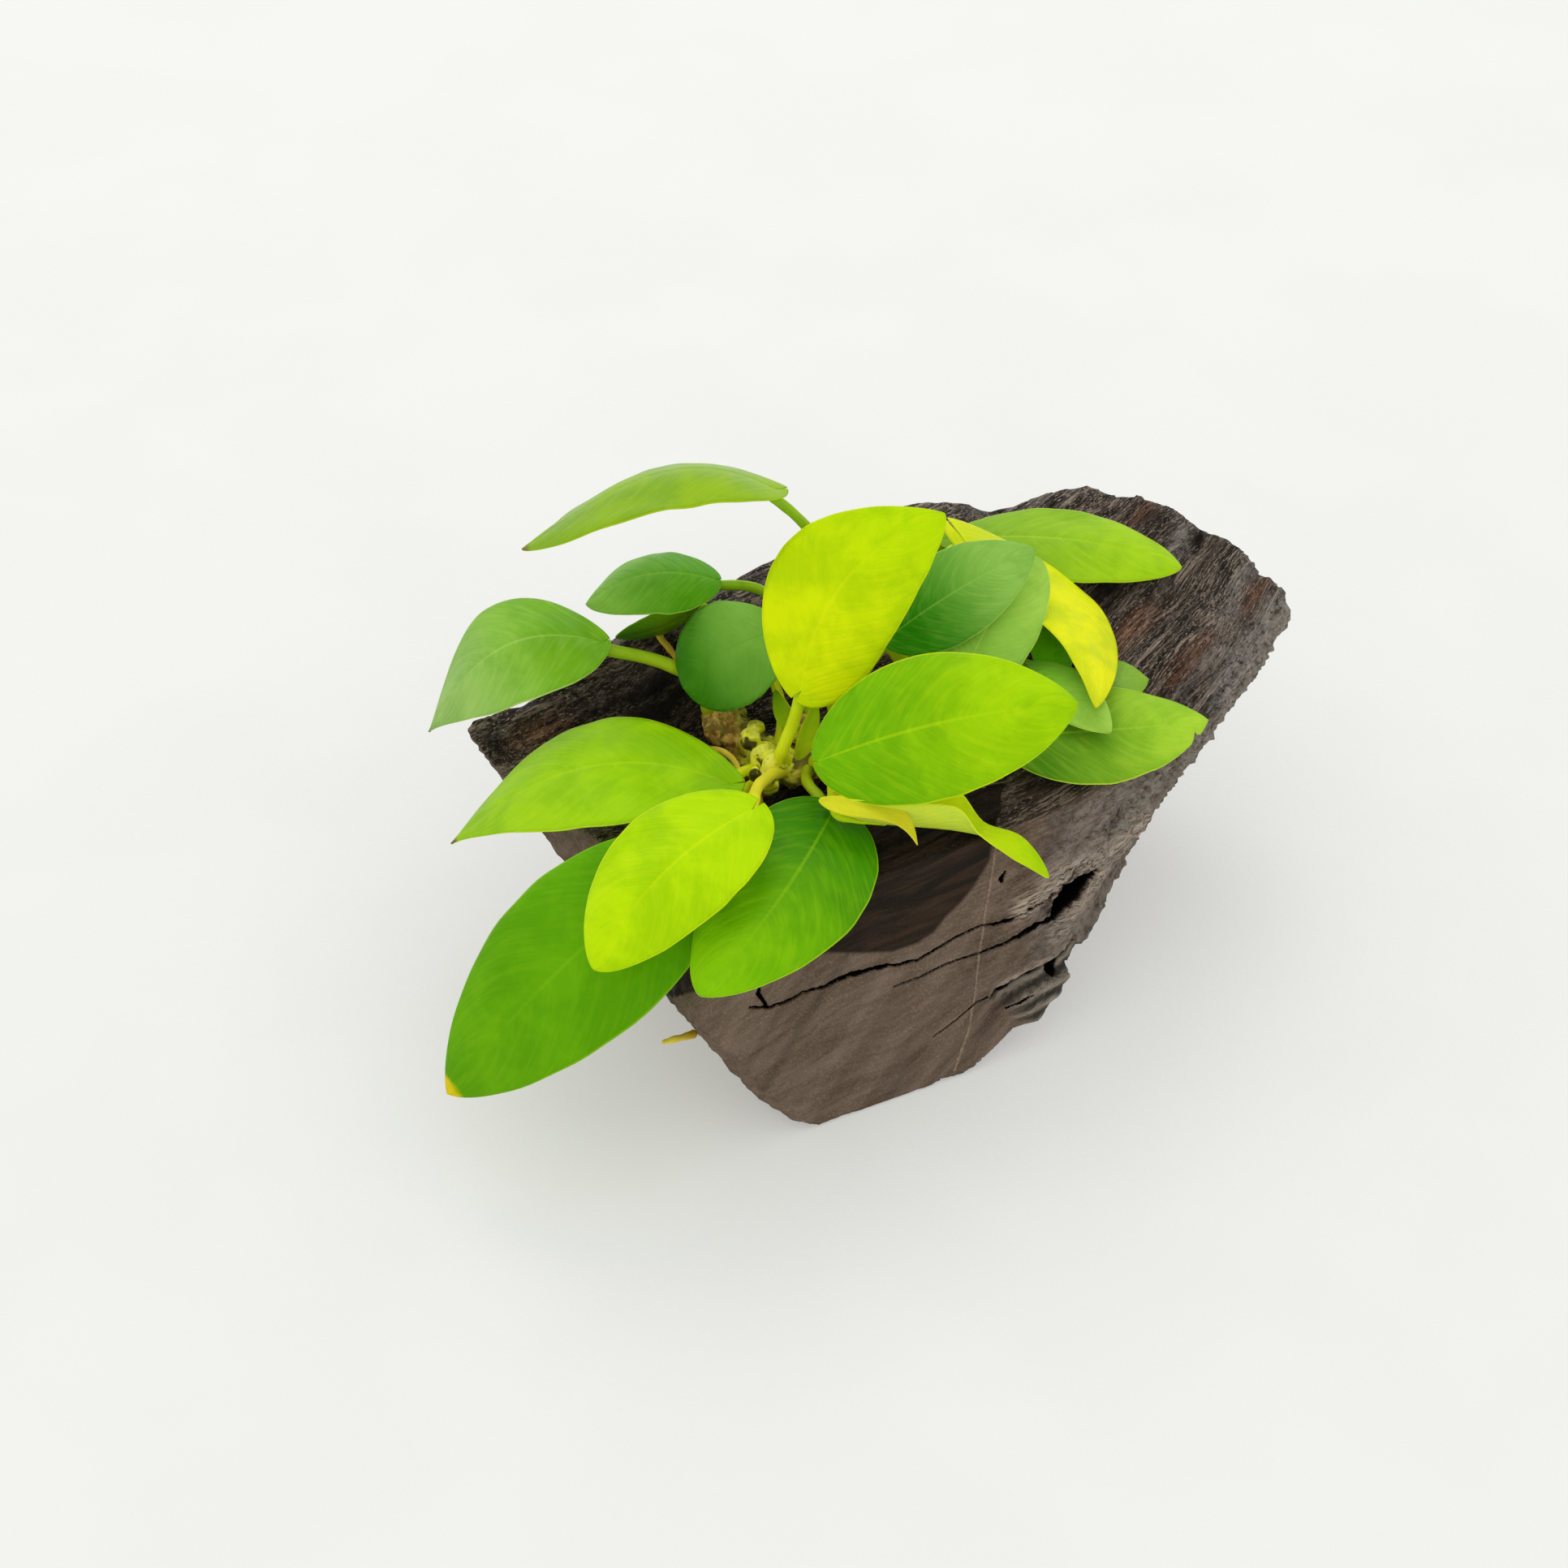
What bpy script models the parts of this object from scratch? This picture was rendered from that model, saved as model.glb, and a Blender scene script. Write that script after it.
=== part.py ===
# Anubias on driftwood: a split block of driftwood with a small water plant rooted in the
# hollow of its top. Every leaf blade, leaf stalk, root and sheath is its own closed object.
# Lengths below are in millimetres; the origin is about the middle of the flat underside.
import math

import bmesh
import bpy
from mathutils import Vector, noise
from mathutils.bvhtree import BVHTree

MM = 0.001

# Driving sizes
GAP = 0.3
WOOD_TRIANGLES = 3300
VOXEL = 1.5
BLADE_THICKNESS = 0.8
STALK_FOOT_RADIUS = 1.05
STALK_TOP_RADIUS = 0.7
RHIZOME_RADIUS = 3.3
ROOT_RADIUS = 0.65

BARK_BROWN = (0.09, 0.06, 0.045)
RHIZOME_GREEN = (0.30, 0.33, 0.05)
ROOT_YELLOW = (0.55, 0.48, 0.08)
STALK_GREEN = (0.33, 0.50, 0.06)
DARK_GREEN = (0.05, 0.19, 0.03)
MID_GREEN = (0.15, 0.36, 0.03)
LIME = (0.45, 0.70, 0.01)
YELLOW = (0.75, 0.73, 0.02)


def clear_scene():
    for old in list(bpy.data.objects):
        bpy.data.objects.remove(old, do_unlink=True)


def material(name, colour, roughness):
    mat = bpy.data.materials.new(name)
    mat.use_nodes = True
    bsdf = mat.node_tree.nodes["Principled BSDF"]
    bsdf.inputs["Base Color"].default_value = (*colour, 1)
    bsdf.inputs["Roughness"].default_value = roughness
    bsdf.inputs["Metallic"].default_value = 0
    mat.diffuse_color = (*colour, 1)
    return mat


def add_object(name, mesh, colour, roughness):
    """Put a mesh in millimetres into the scene as a metre-sized object with its material."""
    for vertex in mesh.vertices:
        vertex.co *= MM
    mesh.shade_smooth()
    mesh.materials.clear()
    mesh.materials.append(material(name, colour, roughness))
    body = bpy.data.objects.new(name, mesh)
    bpy.context.scene.collection.objects.link(body)
    return body


def closed_mesh(name, points, faces):
    """Mesh from points and faces, with every face turned outwards."""
    mesh = bpy.data.meshes.new(name)
    mesh.from_pydata([tuple(p) for p in points], [], faces)
    bm = bmesh.new()
    bm.from_mesh(mesh)
    bmesh.ops.recalc_face_normals(bm, faces=bm.faces)
    if bm.calc_volume(signed=True) < 0:
        bmesh.ops.reverse_faces(bm, faces=bm.faces)
    bmesh.ops.triangulate(bm, faces=bm.faces)
    bm.to_mesh(mesh)
    bm.free()
    return mesh


def through_modifier(mesh, kind, **settings):
    """The mesh as one modifier leaves it."""
    holder = bpy.data.objects.new("holder", mesh)
    bpy.context.scene.collection.objects.link(holder)
    modifier = holder.modifiers.new(kind, kind)
    for key, value in settings.items():
        setattr(modifier, key, value)
    graph = bpy.context.evaluated_depsgraph_get()
    result = bpy.data.meshes.new_from_object(holder.evaluated_get(graph))
    bpy.data.objects.remove(holder, do_unlink=True)
    return result


# Driftwood
# Corners of the split block before it is worn: the rim along the back, the upper edge and the
# foot of the front face that leans back, the cut left end and the flat patch it stands on.
BACK_RIM = [
    (-69, 11, 44), (-63, 16, 46), (-44, 30, 47), (-22, 43, 49), (8, 62, 52), (17, 63, 53),
    (41, 59, 59), (50, 58, 59), (61, 51, 56), (69, 47, 53), (77, 39, 49), (78, 39, 44),
]
FRONT_EDGE = [
    (-29, -46, 43.5), (-10, -33.5, 45.5), (24, -18.5, 47.5), (50, -7, 46.5), (60, 6, 45), (69, 27, 41),
]
FRONT_FOOT = [
    (-28.5, -49, 29), (-12, -47.5, 4), (-9, -45.5, 0), (5, -39, 0), (17, -32.5, 0),
    (31, -24.5, 12), (39, -18.5, 22), (52, -3, 41),
]
LEFT_END = [(-61, 7, 28), (-53, -7, 26), (-34, -40, 28)]
UNDERSIDE = [
    (30, 1, 0), (41, 26, 0), (26, 44, 0), (-9, 36, 0), (-36, 13, 0), (-34, -14, 0), (-22, -36, 0),
]
BACK_FOOT = [(-42, 26, 20), (4, 57, 22), (42, 55, 26), (66, 43, 32)]

DOWN = (0, 0, -1)
INTO_FRONT = (-0.45, 0.87, -0.1)

# Worn places: path, reach, depth and the way the wood gives.
WORN = [
    # the hollow that the plant sits in
    ([(-48, 7, 46), (-20, 2, 46), (18, 8, 48)], 27, 11.5, DOWN),
    # the low part of the rim, and the knot hole beside the high part
    ([(27, 66, 53), (23, 46, 51)], 12, 5, DOWN),
    ([(61, 47, 57)], 5, 4, (-0.2, -0.2, -1)),
    # flutes along the grain of the top
    ([(38, -4, 50), (52, 22, 54), (60, 50, 57)], 5, 1.6, DOWN),
    ([(30, 4, 51), (40, 26, 54), (46, 56, 59)], 5, 1.6, DOWN),
    ([(52, 2, 49), (66, 26, 49), (72, 42, 52)], 4.5, 1.4, DOWN),
    ([(-62, 16, 47), (-46, 22, 45), (-30, 30, 47)], 4, 1.3, DOWN),
    # the eye-shaped hole, the long crack that runs into it, and the ledge under its lip
    ([(32.5, -20, 27.5), (37.5, -16, 31.5)], 3.4, 7, INTO_FRONT),
    ([(-20, -45, 29), (-7, -39, 27.5), (11, -30.5, 27.5), (27, -22, 29.5), (32, -20, 28)],
     2.2, 1.8, INTO_FRONT),
    ([(20, -30, 12.5), (28, -25, 16), (35, -20.5, 20)], 3.6, 3.2, INTO_FRONT),
    # broken edge of the front face on the right
    ([(40, -19, 21.5)], 4, 3.5, (-1, 0.4, 0.3)),
    ([(44, -14, 32), (47, -9, 37)], 4, 2.6, (-1, 0.6, 0)),
    ([(47, -8, 38), (54, 1, 43)], 9, 3, (-1, 0.5, 0)),
    ([(66, 18, 42)], 5, 2, (-1, 0.3, 0)),
    # shallow dishes of the split face and of the cut left end
    ([(2, -40, 14), (10, -36, 30)], 14, 1.6, INTO_FRONT),
    ([(-14, -44, 16)], 12, -1.2, INTO_FRONT),
    ([(-52, -12, 38), (-40, -30, 36)], 10, 2.2, (0.8, 0.5, 0)),
]


def distance_to_path(point, path):
    if len(path) == 1:
        return (point - Vector(path[0])).length
    best = 1e9
    for start, end in zip(path, path[1:]):
        start = Vector(start)
        span = Vector(end) - start
        along = max(0.0, min(1.0, (point - start).dot(span) / span.length_squared))
        best = min(best, (point - start - span * along).length)
    return best


def wear_away(vertices, path, reach, depth, way):
    way = Vector(way).normalized()
    for vertex in vertices:
        share = distance_to_path(vertex.co, path) / reach
        if share < 1:
            vertex.co += way * depth * (1 - share * share) ** 2


def roughen(mesh):
    """Low lumps and hollows, longer along the grain than across it, none on the underside."""
    for vertex in mesh.vertices:
        along = vertex.co.dot(Vector((0.82, 0.57, 0)))
        across = vertex.co.dot(Vector((-0.57, 0.82, 0)))
        broad = noise.noise(Vector((along / 26, across / 13, vertex.co.z / 13)))
        fine = noise.noise(Vector((along / 13 + 7, across / 5, vertex.co.z / 5)))
        height = max(0, min(1, vertex.co.z / 4))
        vertex.co += vertex.normal * (1.3 * broad + 0.7 * fine) * height


def driftwood():
    corners = BACK_RIM + FRONT_EDGE + FRONT_FOOT + LEFT_END + UNDERSIDE + BACK_FOOT
    bm = bmesh.new()
    for corner in corners:
        bm.verts.new(corner)
    hull = bmesh.ops.convex_hull(bm, input=bm.verts)
    bmesh.ops.delete(bm, geom=hull["geom_interior"], context="VERTS")
    block = bpy.data.meshes.new("block")
    bm.to_mesh(block)
    bm.free()
    wood = through_modifier(block, "REMESH", mode="VOXEL", voxel_size=VOXEL)
    for path, reach, depth, way in WORN:
        wear_away(wood.vertices, path, reach, depth, way)
    wood = through_modifier(wood, "SMOOTH", factor=0.5, iterations=2)
    roughen(wood)
    ratio = WOOD_TRIANGLES / (2 * len(wood.polygons))
    wood = through_modifier(wood, "DECIMATE", ratio=ratio, use_collapse_triangulate=True)
    for vertex in wood.vertices:
        if vertex.co.z < 1:
            vertex.co.z = 0
    return wood


# Round stems: rhizome, stalks and roots
def smooth_path(points, count):
    """Points spaced along a smooth curve through the given ones."""
    given = [Vector(p) for p in points]
    if len(given) == 2:
        return [given[0].lerp(given[1], i / (count - 1)) for i in range(count)]
    padded = [2 * given[0] - given[1]] + given + [2 * given[-1] - given[-2]]
    out = []
    for i in range(count):
        place = i / (count - 1) * (len(given) - 1)
        k = min(int(place), len(given) - 2)
        t = place - k
        a, b, c, d = padded[k:k + 4]
        out.append(0.5 * (2 * b + (c - a) * t + (2 * a - 5 * b + 4 * c - d) * t * t
                          + (3 * b - a - 3 * c + d) * t ** 3))
    return out


def stem(name, path, radii, sides):
    """Closed round stem with a rounded cap at both ends."""
    path = [Vector(p) for p in path]
    ways = []
    for i in range(len(path)):
        ways.append((path[min(i + 1, len(path) - 1)] - path[max(i - 1, 0)]).normalized())
    side = ways[0].orthogonal().normalized()
    points, faces = [], []
    for i, (centre, way, radius) in enumerate(zip(path, ways, radii)):
        side = (side - way * side.dot(way)).normalized()
        other = way.cross(side)
        for k in range(sides):
            angle = 2 * math.pi * k / sides
            points.append(centre + (side * math.cos(angle) + other * math.sin(angle)) * radius)
        if i:
            low, high = (i - 1) * sides, i * sides
            for k in range(sides):
                n = (k + 1) % sides
                faces.append((low + k, low + n, high + n, high + k))
    last = (len(path) - 1) * sides
    points.append(path[0] - ways[0] * radii[0] * 0.5)
    points.append(path[-1] + ways[-1] * radii[-1] * 0.5)
    for k in range(sides):
        n = (k + 1) % sides
        faces.append((k, n, len(points) - 2))
        faces.append((last + k, last + n, len(points) - 1))
    return closed_mesh(name, points, faces)


# Rhizome: the creeping stem, with rings where old leaves fell. Heights are over the wood.
RHIZOME_LINE = [(-27, 12), (-21, 8), (-17, 3), (-11, 0), (-4, 4), (5, 10), (12, 16)]
RING_SPACING = 3.2


def rhizome_path(wood_top, count):
    line = smooth_path([(x, y, 0) for x, y in RHIZOME_LINE], count)
    return [Vector((p.x, p.y, wood_top(p.x, p.y) + RHIZOME_RADIUS + 1.1)) for p in line]


def settle(path, passes=4):
    """Evens out the heights of a path without lowering it."""
    for _ in range(passes):
        for i in range(1, len(path) - 1):
            path[i].z = max(path[i].z, (path[i - 1].z + path[i + 1].z) / 2)
    return path


def rhizome(wood_top):
    path = settle(rhizome_path(wood_top, 28))
    radii = []
    walked = 0
    for i, point in enumerate(path):
        walked += (point - path[i - 1]).length if i else 0
        end = min(1, 0.55 + 0.18 * min(i, len(path) - 1 - i))
        radii.append(RHIZOME_RADIUS * end * (1 + 0.09 * math.cos(2 * math.pi * walked / RING_SPACING)))
    return path, stem("rhizome", path, radii, 10)


# Leaves. A blade runs from base to tip. "facing" is the way its upper side looks; arch lifts
# the midrib, sway bends it sideways, cup lowers (below 0) or raises the edges, belly is how
# far along the widest place lies, full is how blunt the ends are and lobe how far the two
# sides reach back past the stalk. The stalk runs from the rhizome through its own points.
LEAVES = {
    "high_back": dict(
        base=(-15, 22, 85), tip=(-58, 13.5, 79), facing=(0, 0.38, 0.92), width=28, arch=8, cup=-0.2,
        belly=0.38, full=1.15, colour=MID_GREEN,
        stalk=[(9, 16, 46), (2, 19.5, 57), (-6, 20.5, 70), (-10.5, 21, 78.5)]),
    "left_small": dict(
        base=(-24.5, 26.5, 62), tip=(-48.5, 25, 57), facing=(0, 0, 1), width=17, arch=4, cup=-0.25,
        colour=DARK_GREEN, stalk=[(-8.5, 1.5, 43), (-9.8, 10, 48.5), (-12, 22, 54), (-18, 27.5, 59)]),
    "left_large": dict(
        base=(-43.5, 16, 57.5), tip=(-75.5, 7, 44), facing=(-0.2, -0.2, 0.95), width=23, arch=11,
        cup=-0.2, belly=0.45, colour=MID_GREEN, stalk=[(-25, 11, 44), (-29, 14, 49.5), (-36, 15.5, 53)]),
    "left_shaded": dict(
        base=(-29, 26.5, 56), tip=(-43.5, 22.5, 52.5), facing=(0, 0.85, 0.55), width=12, arch=-1,
        cup=0.1, colour=DARK_GREEN, stalk=[(-14, 1.5, 43), (-15, 12, 48.5), (-22, 23.5, 53)]),
    "left_front": dict(
        base=(-23, -10, 47), tip=(-70.5, -15, 38), facing=(0, 0, 1), width=26, arch=11, cup=-0.12,
        belly=0.4, colour=MID_GREEN, stalk=[(-21, 8, 42), (-24.5, -0.5, 44.5)]),
    "low_left": dict(
        base=(-27, -30, 49), tip=(-69.5, -55, 19), facing=(-0.25, -0.5, 0.8), width=30, arch=8, late=-2,
        cup=-0.1, sway=-0.5, colour=MID_GREEN, stalk=[(-13, 0, 43), (-15, -12, 47), (-22, -24, 51)]),
    "front_lime": dict(
        base=(-20.5, -27.5, 59), tip=(-44.5, -54, 47), facing=(-0.1, -0.4, 0.9), width=25, arch=3,
        cup=-0.12, sway=2, full=1.0, lobe=0.08, colour=LIME,
        stalk=[(-17.5, 3, 44), (-18.5, -8, 49), (-19.5, -19, 56)]),
    "front_centre": dict(
        base=(-6, -19, 49), tip=(-27.5, -57, 44), facing=(-0.15, -0.5, 0.8), width=25, arch=3.5, late=-1,
        cup=-0.12, sway=-2.5, full=1.1, belly=0.38, colour=DARK_GREEN,
        stalk=[(-11, 0, 43), (-10, -9, 46.5), (-8, -15, 48.5)]),
    "dark_by_lime": dict(
        base=(-15, 15, 59), tip=(-32, 9.5, 50), facing=(-0.2, -0.5, 0.8), width=21, arch=4, cup=-0.2,
        full=1.0, belly=0.5, colour=DARK_GREEN,
        stalk=[(-5, 3.5, 44), (-6.5, 10, 51), (-10.5, 15, 57.5)]),
    "lime_upright": dict(
        base=(-11.5, -3.5, 58), tip=(13, 17, 84), facing=(0.05, -0.7, 0.75), width=25, arch=2, cup=-0.1,
        sway=-4.5, full=1.15, lobe=0.05, colour=LIME,
        stalk=[(-14, 1, 44), (-14.5, -4.5, 50), (-12.5, -4.5, 54)]),
    "right_front": dict(
        base=(-8.5, -17.8, 59.1), tip=(34.5, -12.3, 67.1), facing=(0, -0.55, 0.8), width=25, arch=3,
        cup=-0.12, belly=0.45, sway=-1.2, full=1.15, lobe=0.02, colour=LIME,
        stalk=[(-9, 1, 44), (-9.3, -7, 50), (-9.5, -13, 55)]),
    "young_curled": dict(
        base=(-5.5, -21.8, 52.6), tip=(30, -28.5, 43), facing=(0, -0.9, 0.4), width=9.5, arch=1.3,
        cup=0.15, hook=-5, twist=150, colour=LIME,
        stalk=[(-5.5, 3, 44), (-5.5, -8, 48), (-6, -16, 50.5)]),
    "dark_upper": dict(
        base=(4, 14.5, 59), tip=(29, 22.5, 72), facing=(0, -0.5, 0.87), width=18, arch=3, cup=-0.15,
        colour=DARK_GREEN, stalk=[(0, 7, 45), (0, 12, 53)]),
    "dark_middle": dict(
        base=(16.5, 7, 55.5), tip=(30, 25.5, 68), facing=(-0.1, -0.6, 0.8), width=15, arch=2, cup=-0.1,
        sway=-1, full=1.1, lobe=0.02, colour=DARK_GREEN, stalk=[(9, 13.5, 44), (13, 7, 51)]),
    "back_right": dict(
        base=(15, 42.5, 58.5), tip=(56.5, 37, 56.5), facing=(0, -0.1, 1), width=18, arch=3.5,
        cup=-0.15, late=0.5, colour=MID_GREEN, stalk=[(12, 16, 46), (8.5, 28, 56), (10, 38, 57.5)]),
    "yellow_hanging": dict(
        base=(18, 33.5, 64.5), tip=(38.5, -4, 59), facing=(0.5, -0.3, 0.8), width=16, arch=2, cup=-0.15,
        sway=-9, twist=30, colour=YELLOW, stalk=[(12, 16, 47), (15.5, 26, 57), (15, 33.5, 62.5)]),
    "right_low": dict(
        base=(23, -2.5, 51.5), tip=(58.5, 2, 51), facing=(0, -0.2, 0.98), width=21, arch=2,
        cup=-0.12, sway=2, colour=MID_GREEN, stalk=[(-1, 6, 45), (10, -2, 49.5)]),
    "narrow_right": dict(
        base=(28, 11.5, 55), tip=(41, -6.3, 55.5), facing=(0, -0.35, 0.9), width=10, arch=1.5, cup=-0.15,
        colour=DARK_GREEN, stalk=[(12, 15, 46), (18, 13.5, 49.5), (25, 13, 53)]),
    "tip_right": dict(
        base=(38, 9.7, 51.5), tip=(49, 12.2, 51.5), facing=(0, -0.2, 0.97), width=11, arch=1.5,
        cup=-0.15, colour=MID_GREEN, stalk=[(12, 16, 46), (19, 20, 51.5), (30, 15, 52)]),
    "dark_right": dict(
        base=(32, 11.5, 53.3), tip=(33, 23.5, 56), facing=(0.2, -0.6, 0.8), width=8, arch=1, cup=-0.15,
        colour=DARK_GREEN, stalk=[(11, 15.5, 45), (21, 5, 48)]),
}

# Thin sheaths that wrapped young leaves.
SHEATHS = {
    "sheath_upright": dict(
        base=(-11.5, -3, 47), tip=(-8.5, 0, 57), facing=(0.3, -0.8, 0.5), width=3, arch=0.5, cup=0.3,
        colour=LIME),
    "sheath_behind": dict(
        base=(-11.5, 3.5, 46.5), tip=(-15.5, 8.5, 52.5), facing=(-0.5, -0.6, 0.6), width=3.6, arch=1,
        cup=0.3, colour=LIME),
    "sheath_yellow": dict(
        base=(-7.5, -23.3, 55.3), tip=(8, -27.8, 49.7), facing=(0, -0.6, 0.8), width=3, arch=1.6,
        cup=0.2, colour=YELLOW),
}
BLADE_ROWS = 9
BLADE_COLUMNS = 4


def midsurface(u, v, base, tip, facing, width, arch=3, late=0, sway=0, hook=0, cup=-0.15,
               twist=0, belly=0.42, full=1.3, lobe=0.05, **rest):
    """A point of the blade's middle sheet, u from base to tip and v from -1 to 1 across it."""
    base, tip = Vector(base), Vector(tip)
    length = (tip - base).length
    along = (tip - base) / length
    side = along.cross(Vector(facing)).normalized()
    up = side.cross(along)
    before, after = belly * full, (1 - belly) * full
    widest = belly ** before * (1 - belly) ** after
    half = width / 2 * max(u, 0) ** before * max(1 - u, 0) ** after / widest
    rise = 4 * (u * (1 - u) ** 2 * (arch - late) + u * u * (1 - u) * (arch + late))
    turn = math.radians(twist) * (u - 0.4)
    across = half * v
    lift = cup * half * abs(v) ** 1.6
    forward = length * (u - lobe * (1 - u) ** 6 * abs(v) ** 1.3)
    bend = 4 * u * (1 - u) * sway + 6.75 * u * u * (1 - u) * hook
    sideways = across * math.cos(turn) - lift * math.sin(turn) + bend
    height = across * math.sin(turn) + lift * math.cos(turn) + rise
    return base + along * forward + side * sideways + up * height


def blade(name, spec):
    """Lens-shaped sheet: thick along the midrib, thin at the rim."""
    def sheet(u, v):
        return midsurface(u, v, **spec)

    points = [sheet(0, 0), sheet(1, 0)]
    rows = []
    for i in range(1, BLADE_ROWS):
        u = (1 - math.cos(math.pi * i / BLADE_ROWS)) / 2
        row = []
        for j in range(BLADE_COLUMNS + 1):
            v = -1 + 2 * j / BLADE_COLUMNS
            here = sheet(u, v)
            normal = (sheet(u + 0.01, v) - sheet(u - 0.01, v)).cross(
                sheet(u, v + 0.02) - sheet(u, v - 0.02)).normalized()
            half = BLADE_THICKNESS / 2 * (1 - 0.35 * abs(v))
            if abs(v) == 1:
                points.append(here)
                row.append((len(points) - 1, len(points) - 1))
            else:
                points += [here + normal * half, here - normal * half]
                row.append((len(points) - 2, len(points) - 1))
        rows.append(row)
    faces = []
    for layer in (0, 1):
        for j in range(BLADE_COLUMNS):
            faces.append((0, rows[0][j][layer], rows[0][j + 1][layer]))
            faces.append((1, rows[-1][j][layer], rows[-1][j + 1][layer]))
            for low, high in zip(rows, rows[1:]):
                faces.append((low[j][layer], low[j + 1][layer], high[j + 1][layer], high[j][layer]))
    return closed_mesh(name, points, faces)


def stalk(name, spec, rhizome_line):
    """Stalk from just clear of the rhizome to just short of the blade's base."""
    base = Vector(spec["base"])
    route = [Vector(p) for p in spec["stalk"]]
    nearest = min(rhizome_line, key=lambda p: (p - route[0]).length)
    out = (route[1] if len(route) > 1 else base) - nearest
    route[0] = nearest + out.normalized() * (RHIZOME_RADIUS * 1.1 + GAP + 0.5)
    along = Vector(spec["tip"]) - base
    under = along.cross(along.cross(Vector(spec["facing"]))).normalized()
    end = base - (base - route[-1]).normalized() * (GAP + 0.8) + under * 0.4
    path = smooth_path(route + [end], 7)
    radii = []
    for i in range(7):
        radii.append(STALK_FOOT_RADIUS + (STALK_TOP_RADIUS - STALK_FOOT_RADIUS) * i / 6)
    return stem(name, path, radii, 6)


# Roots. The first ones creep over the wood, with a lift over it at the far end; the hanging
# one leaves the underside of the cut left end.
CREEPING_ROOTS = {
    "root_loop": ([(-26, 5.5), (-29, 3), (-30, -1), (-28.5, -4)], 0),
    "root_back": ([(-28, 17), (-31, 22), (-35.5, 25)], 3),
    "root_front": ([(-14, -7), (-14, -15), (-16, -23)], 0),
    "root_right": ([(17, 17), (24, 21), (32, 26)], 0),
}
HANGING_ROOT = [(-30.3, -44.3, 21.6), (-32, -45.6, 22.2), (-34, -46, 21.8)]


def creeping_root(name, line, lift, wood_top):
    flat = smooth_path([(x, y, 0) for x, y in line], 8)
    path = []
    for i, p in enumerate(flat):
        height = wood_top(p.x, p.y) + ROOT_RADIUS + GAP + 0.3 + lift * (i / 7) ** 3
        path.append(Vector((p.x, p.y, height)))
    radii = [ROOT_RADIUS * (1 - 0.06 * i) for i in range(8)]
    return stem(name, settle(path), radii, 6)


def main():
    clear_scene()
    wood = driftwood()
    tree = BVHTree.FromPolygons([v.co for v in wood.vertices], [p.vertices for p in wood.polygons])

    def wood_top(x, y):
        hit = tree.ray_cast(Vector((x, y, 200)), Vector((0, 0, -1)))[0]
        return hit.z if hit else 0.0

    add_object("driftwood", wood, BARK_BROWN, 0.8)
    line, rhizome_mesh = rhizome(wood_top)
    for name, (route, lift) in CREEPING_ROOTS.items():
        add_object(name, creeping_root(name, route, lift, wood_top), ROOT_YELLOW, 0.5)
    hanging = stem("root_hanging", smooth_path(HANGING_ROOT, 6), [0.75, 0.75, 0.7, 0.65, 0.6, 0.5], 6)
    add_object("root_hanging", hanging, ROOT_YELLOW, 0.5)
    for name, spec in SHEATHS.items():
        add_object(name, blade(name, spec), spec["colour"], 0.45)
    for name, spec in LEAVES.items():
        add_object(name + "_blade", blade(name, spec), spec["colour"], 0.35)
        add_object(name + "_stalk", stalk(name, spec, line), STALK_GREEN, 0.45)
    add_object("rhizome", rhizome_mesh, RHIZOME_GREEN, 0.6)


main()
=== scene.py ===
import math

import bmesh
import bpy
import numpy as np
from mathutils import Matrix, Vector, noise
from mathutils.bvhtree import BVHTree


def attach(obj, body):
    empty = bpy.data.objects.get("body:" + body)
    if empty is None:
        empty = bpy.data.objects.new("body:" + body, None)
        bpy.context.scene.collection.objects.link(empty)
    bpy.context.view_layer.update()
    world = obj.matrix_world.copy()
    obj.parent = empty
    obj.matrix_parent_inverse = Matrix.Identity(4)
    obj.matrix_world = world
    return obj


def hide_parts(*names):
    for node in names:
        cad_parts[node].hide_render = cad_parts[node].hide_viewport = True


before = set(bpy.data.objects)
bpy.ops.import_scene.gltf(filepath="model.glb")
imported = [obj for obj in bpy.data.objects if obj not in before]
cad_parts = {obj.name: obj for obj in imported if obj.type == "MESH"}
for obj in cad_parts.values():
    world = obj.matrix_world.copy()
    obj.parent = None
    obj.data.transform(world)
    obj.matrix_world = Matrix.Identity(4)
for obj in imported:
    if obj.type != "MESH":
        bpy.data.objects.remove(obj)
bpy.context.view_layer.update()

# Driftwood
# A split and worn block of dark bog wood: a hollow top of coarse wet grain, a smoother sloping
# front with long cracks that open into an eye-shaped hole, and crumbled grey edges on the
# right. It stands by itself on its flat underside. All lengths are in millimetres.
WOOD_CELL = 0.78
OUT_OF_FRONT = np.array((0.45, -0.87, 0.1)) / np.linalg.norm((0.45, -0.87, 0.1))
# Fixes how the grain wanders, which would otherwise change with each run
noise.seed_set(4)
# The front lies more than this far out along OUT_OF_FRONT
FRONT_FROM = 24
# The view of the photograph. The marks on the front are given as pixels of it, and the script
# finds their places on the wood along the camera's lines of sight.
PICTURE_WIDTH = 1932
LENS, SENSOR = 80, 36
LOOK_DOWN = math.radians(42)
LOOK_AT = Vector((-14, -2, 40))
CAMERA = LOOK_AT + 600 * Vector((0, -math.cos(LOOK_DOWN), math.sin(LOOK_DOWN)))
SLOPE = np.array((0, math.cos(LOOK_DOWN), -math.sin(LOOK_DOWN)))
# Rounded swellings of the left corner and the right shoulder: the middle, the push and the reach
SWELLINGS = [((-67, 12, 40), (-2.2, 0, 0.3), 90), ((73, 43, 49), (0.5, 0.9, 1.1), 50)]
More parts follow.
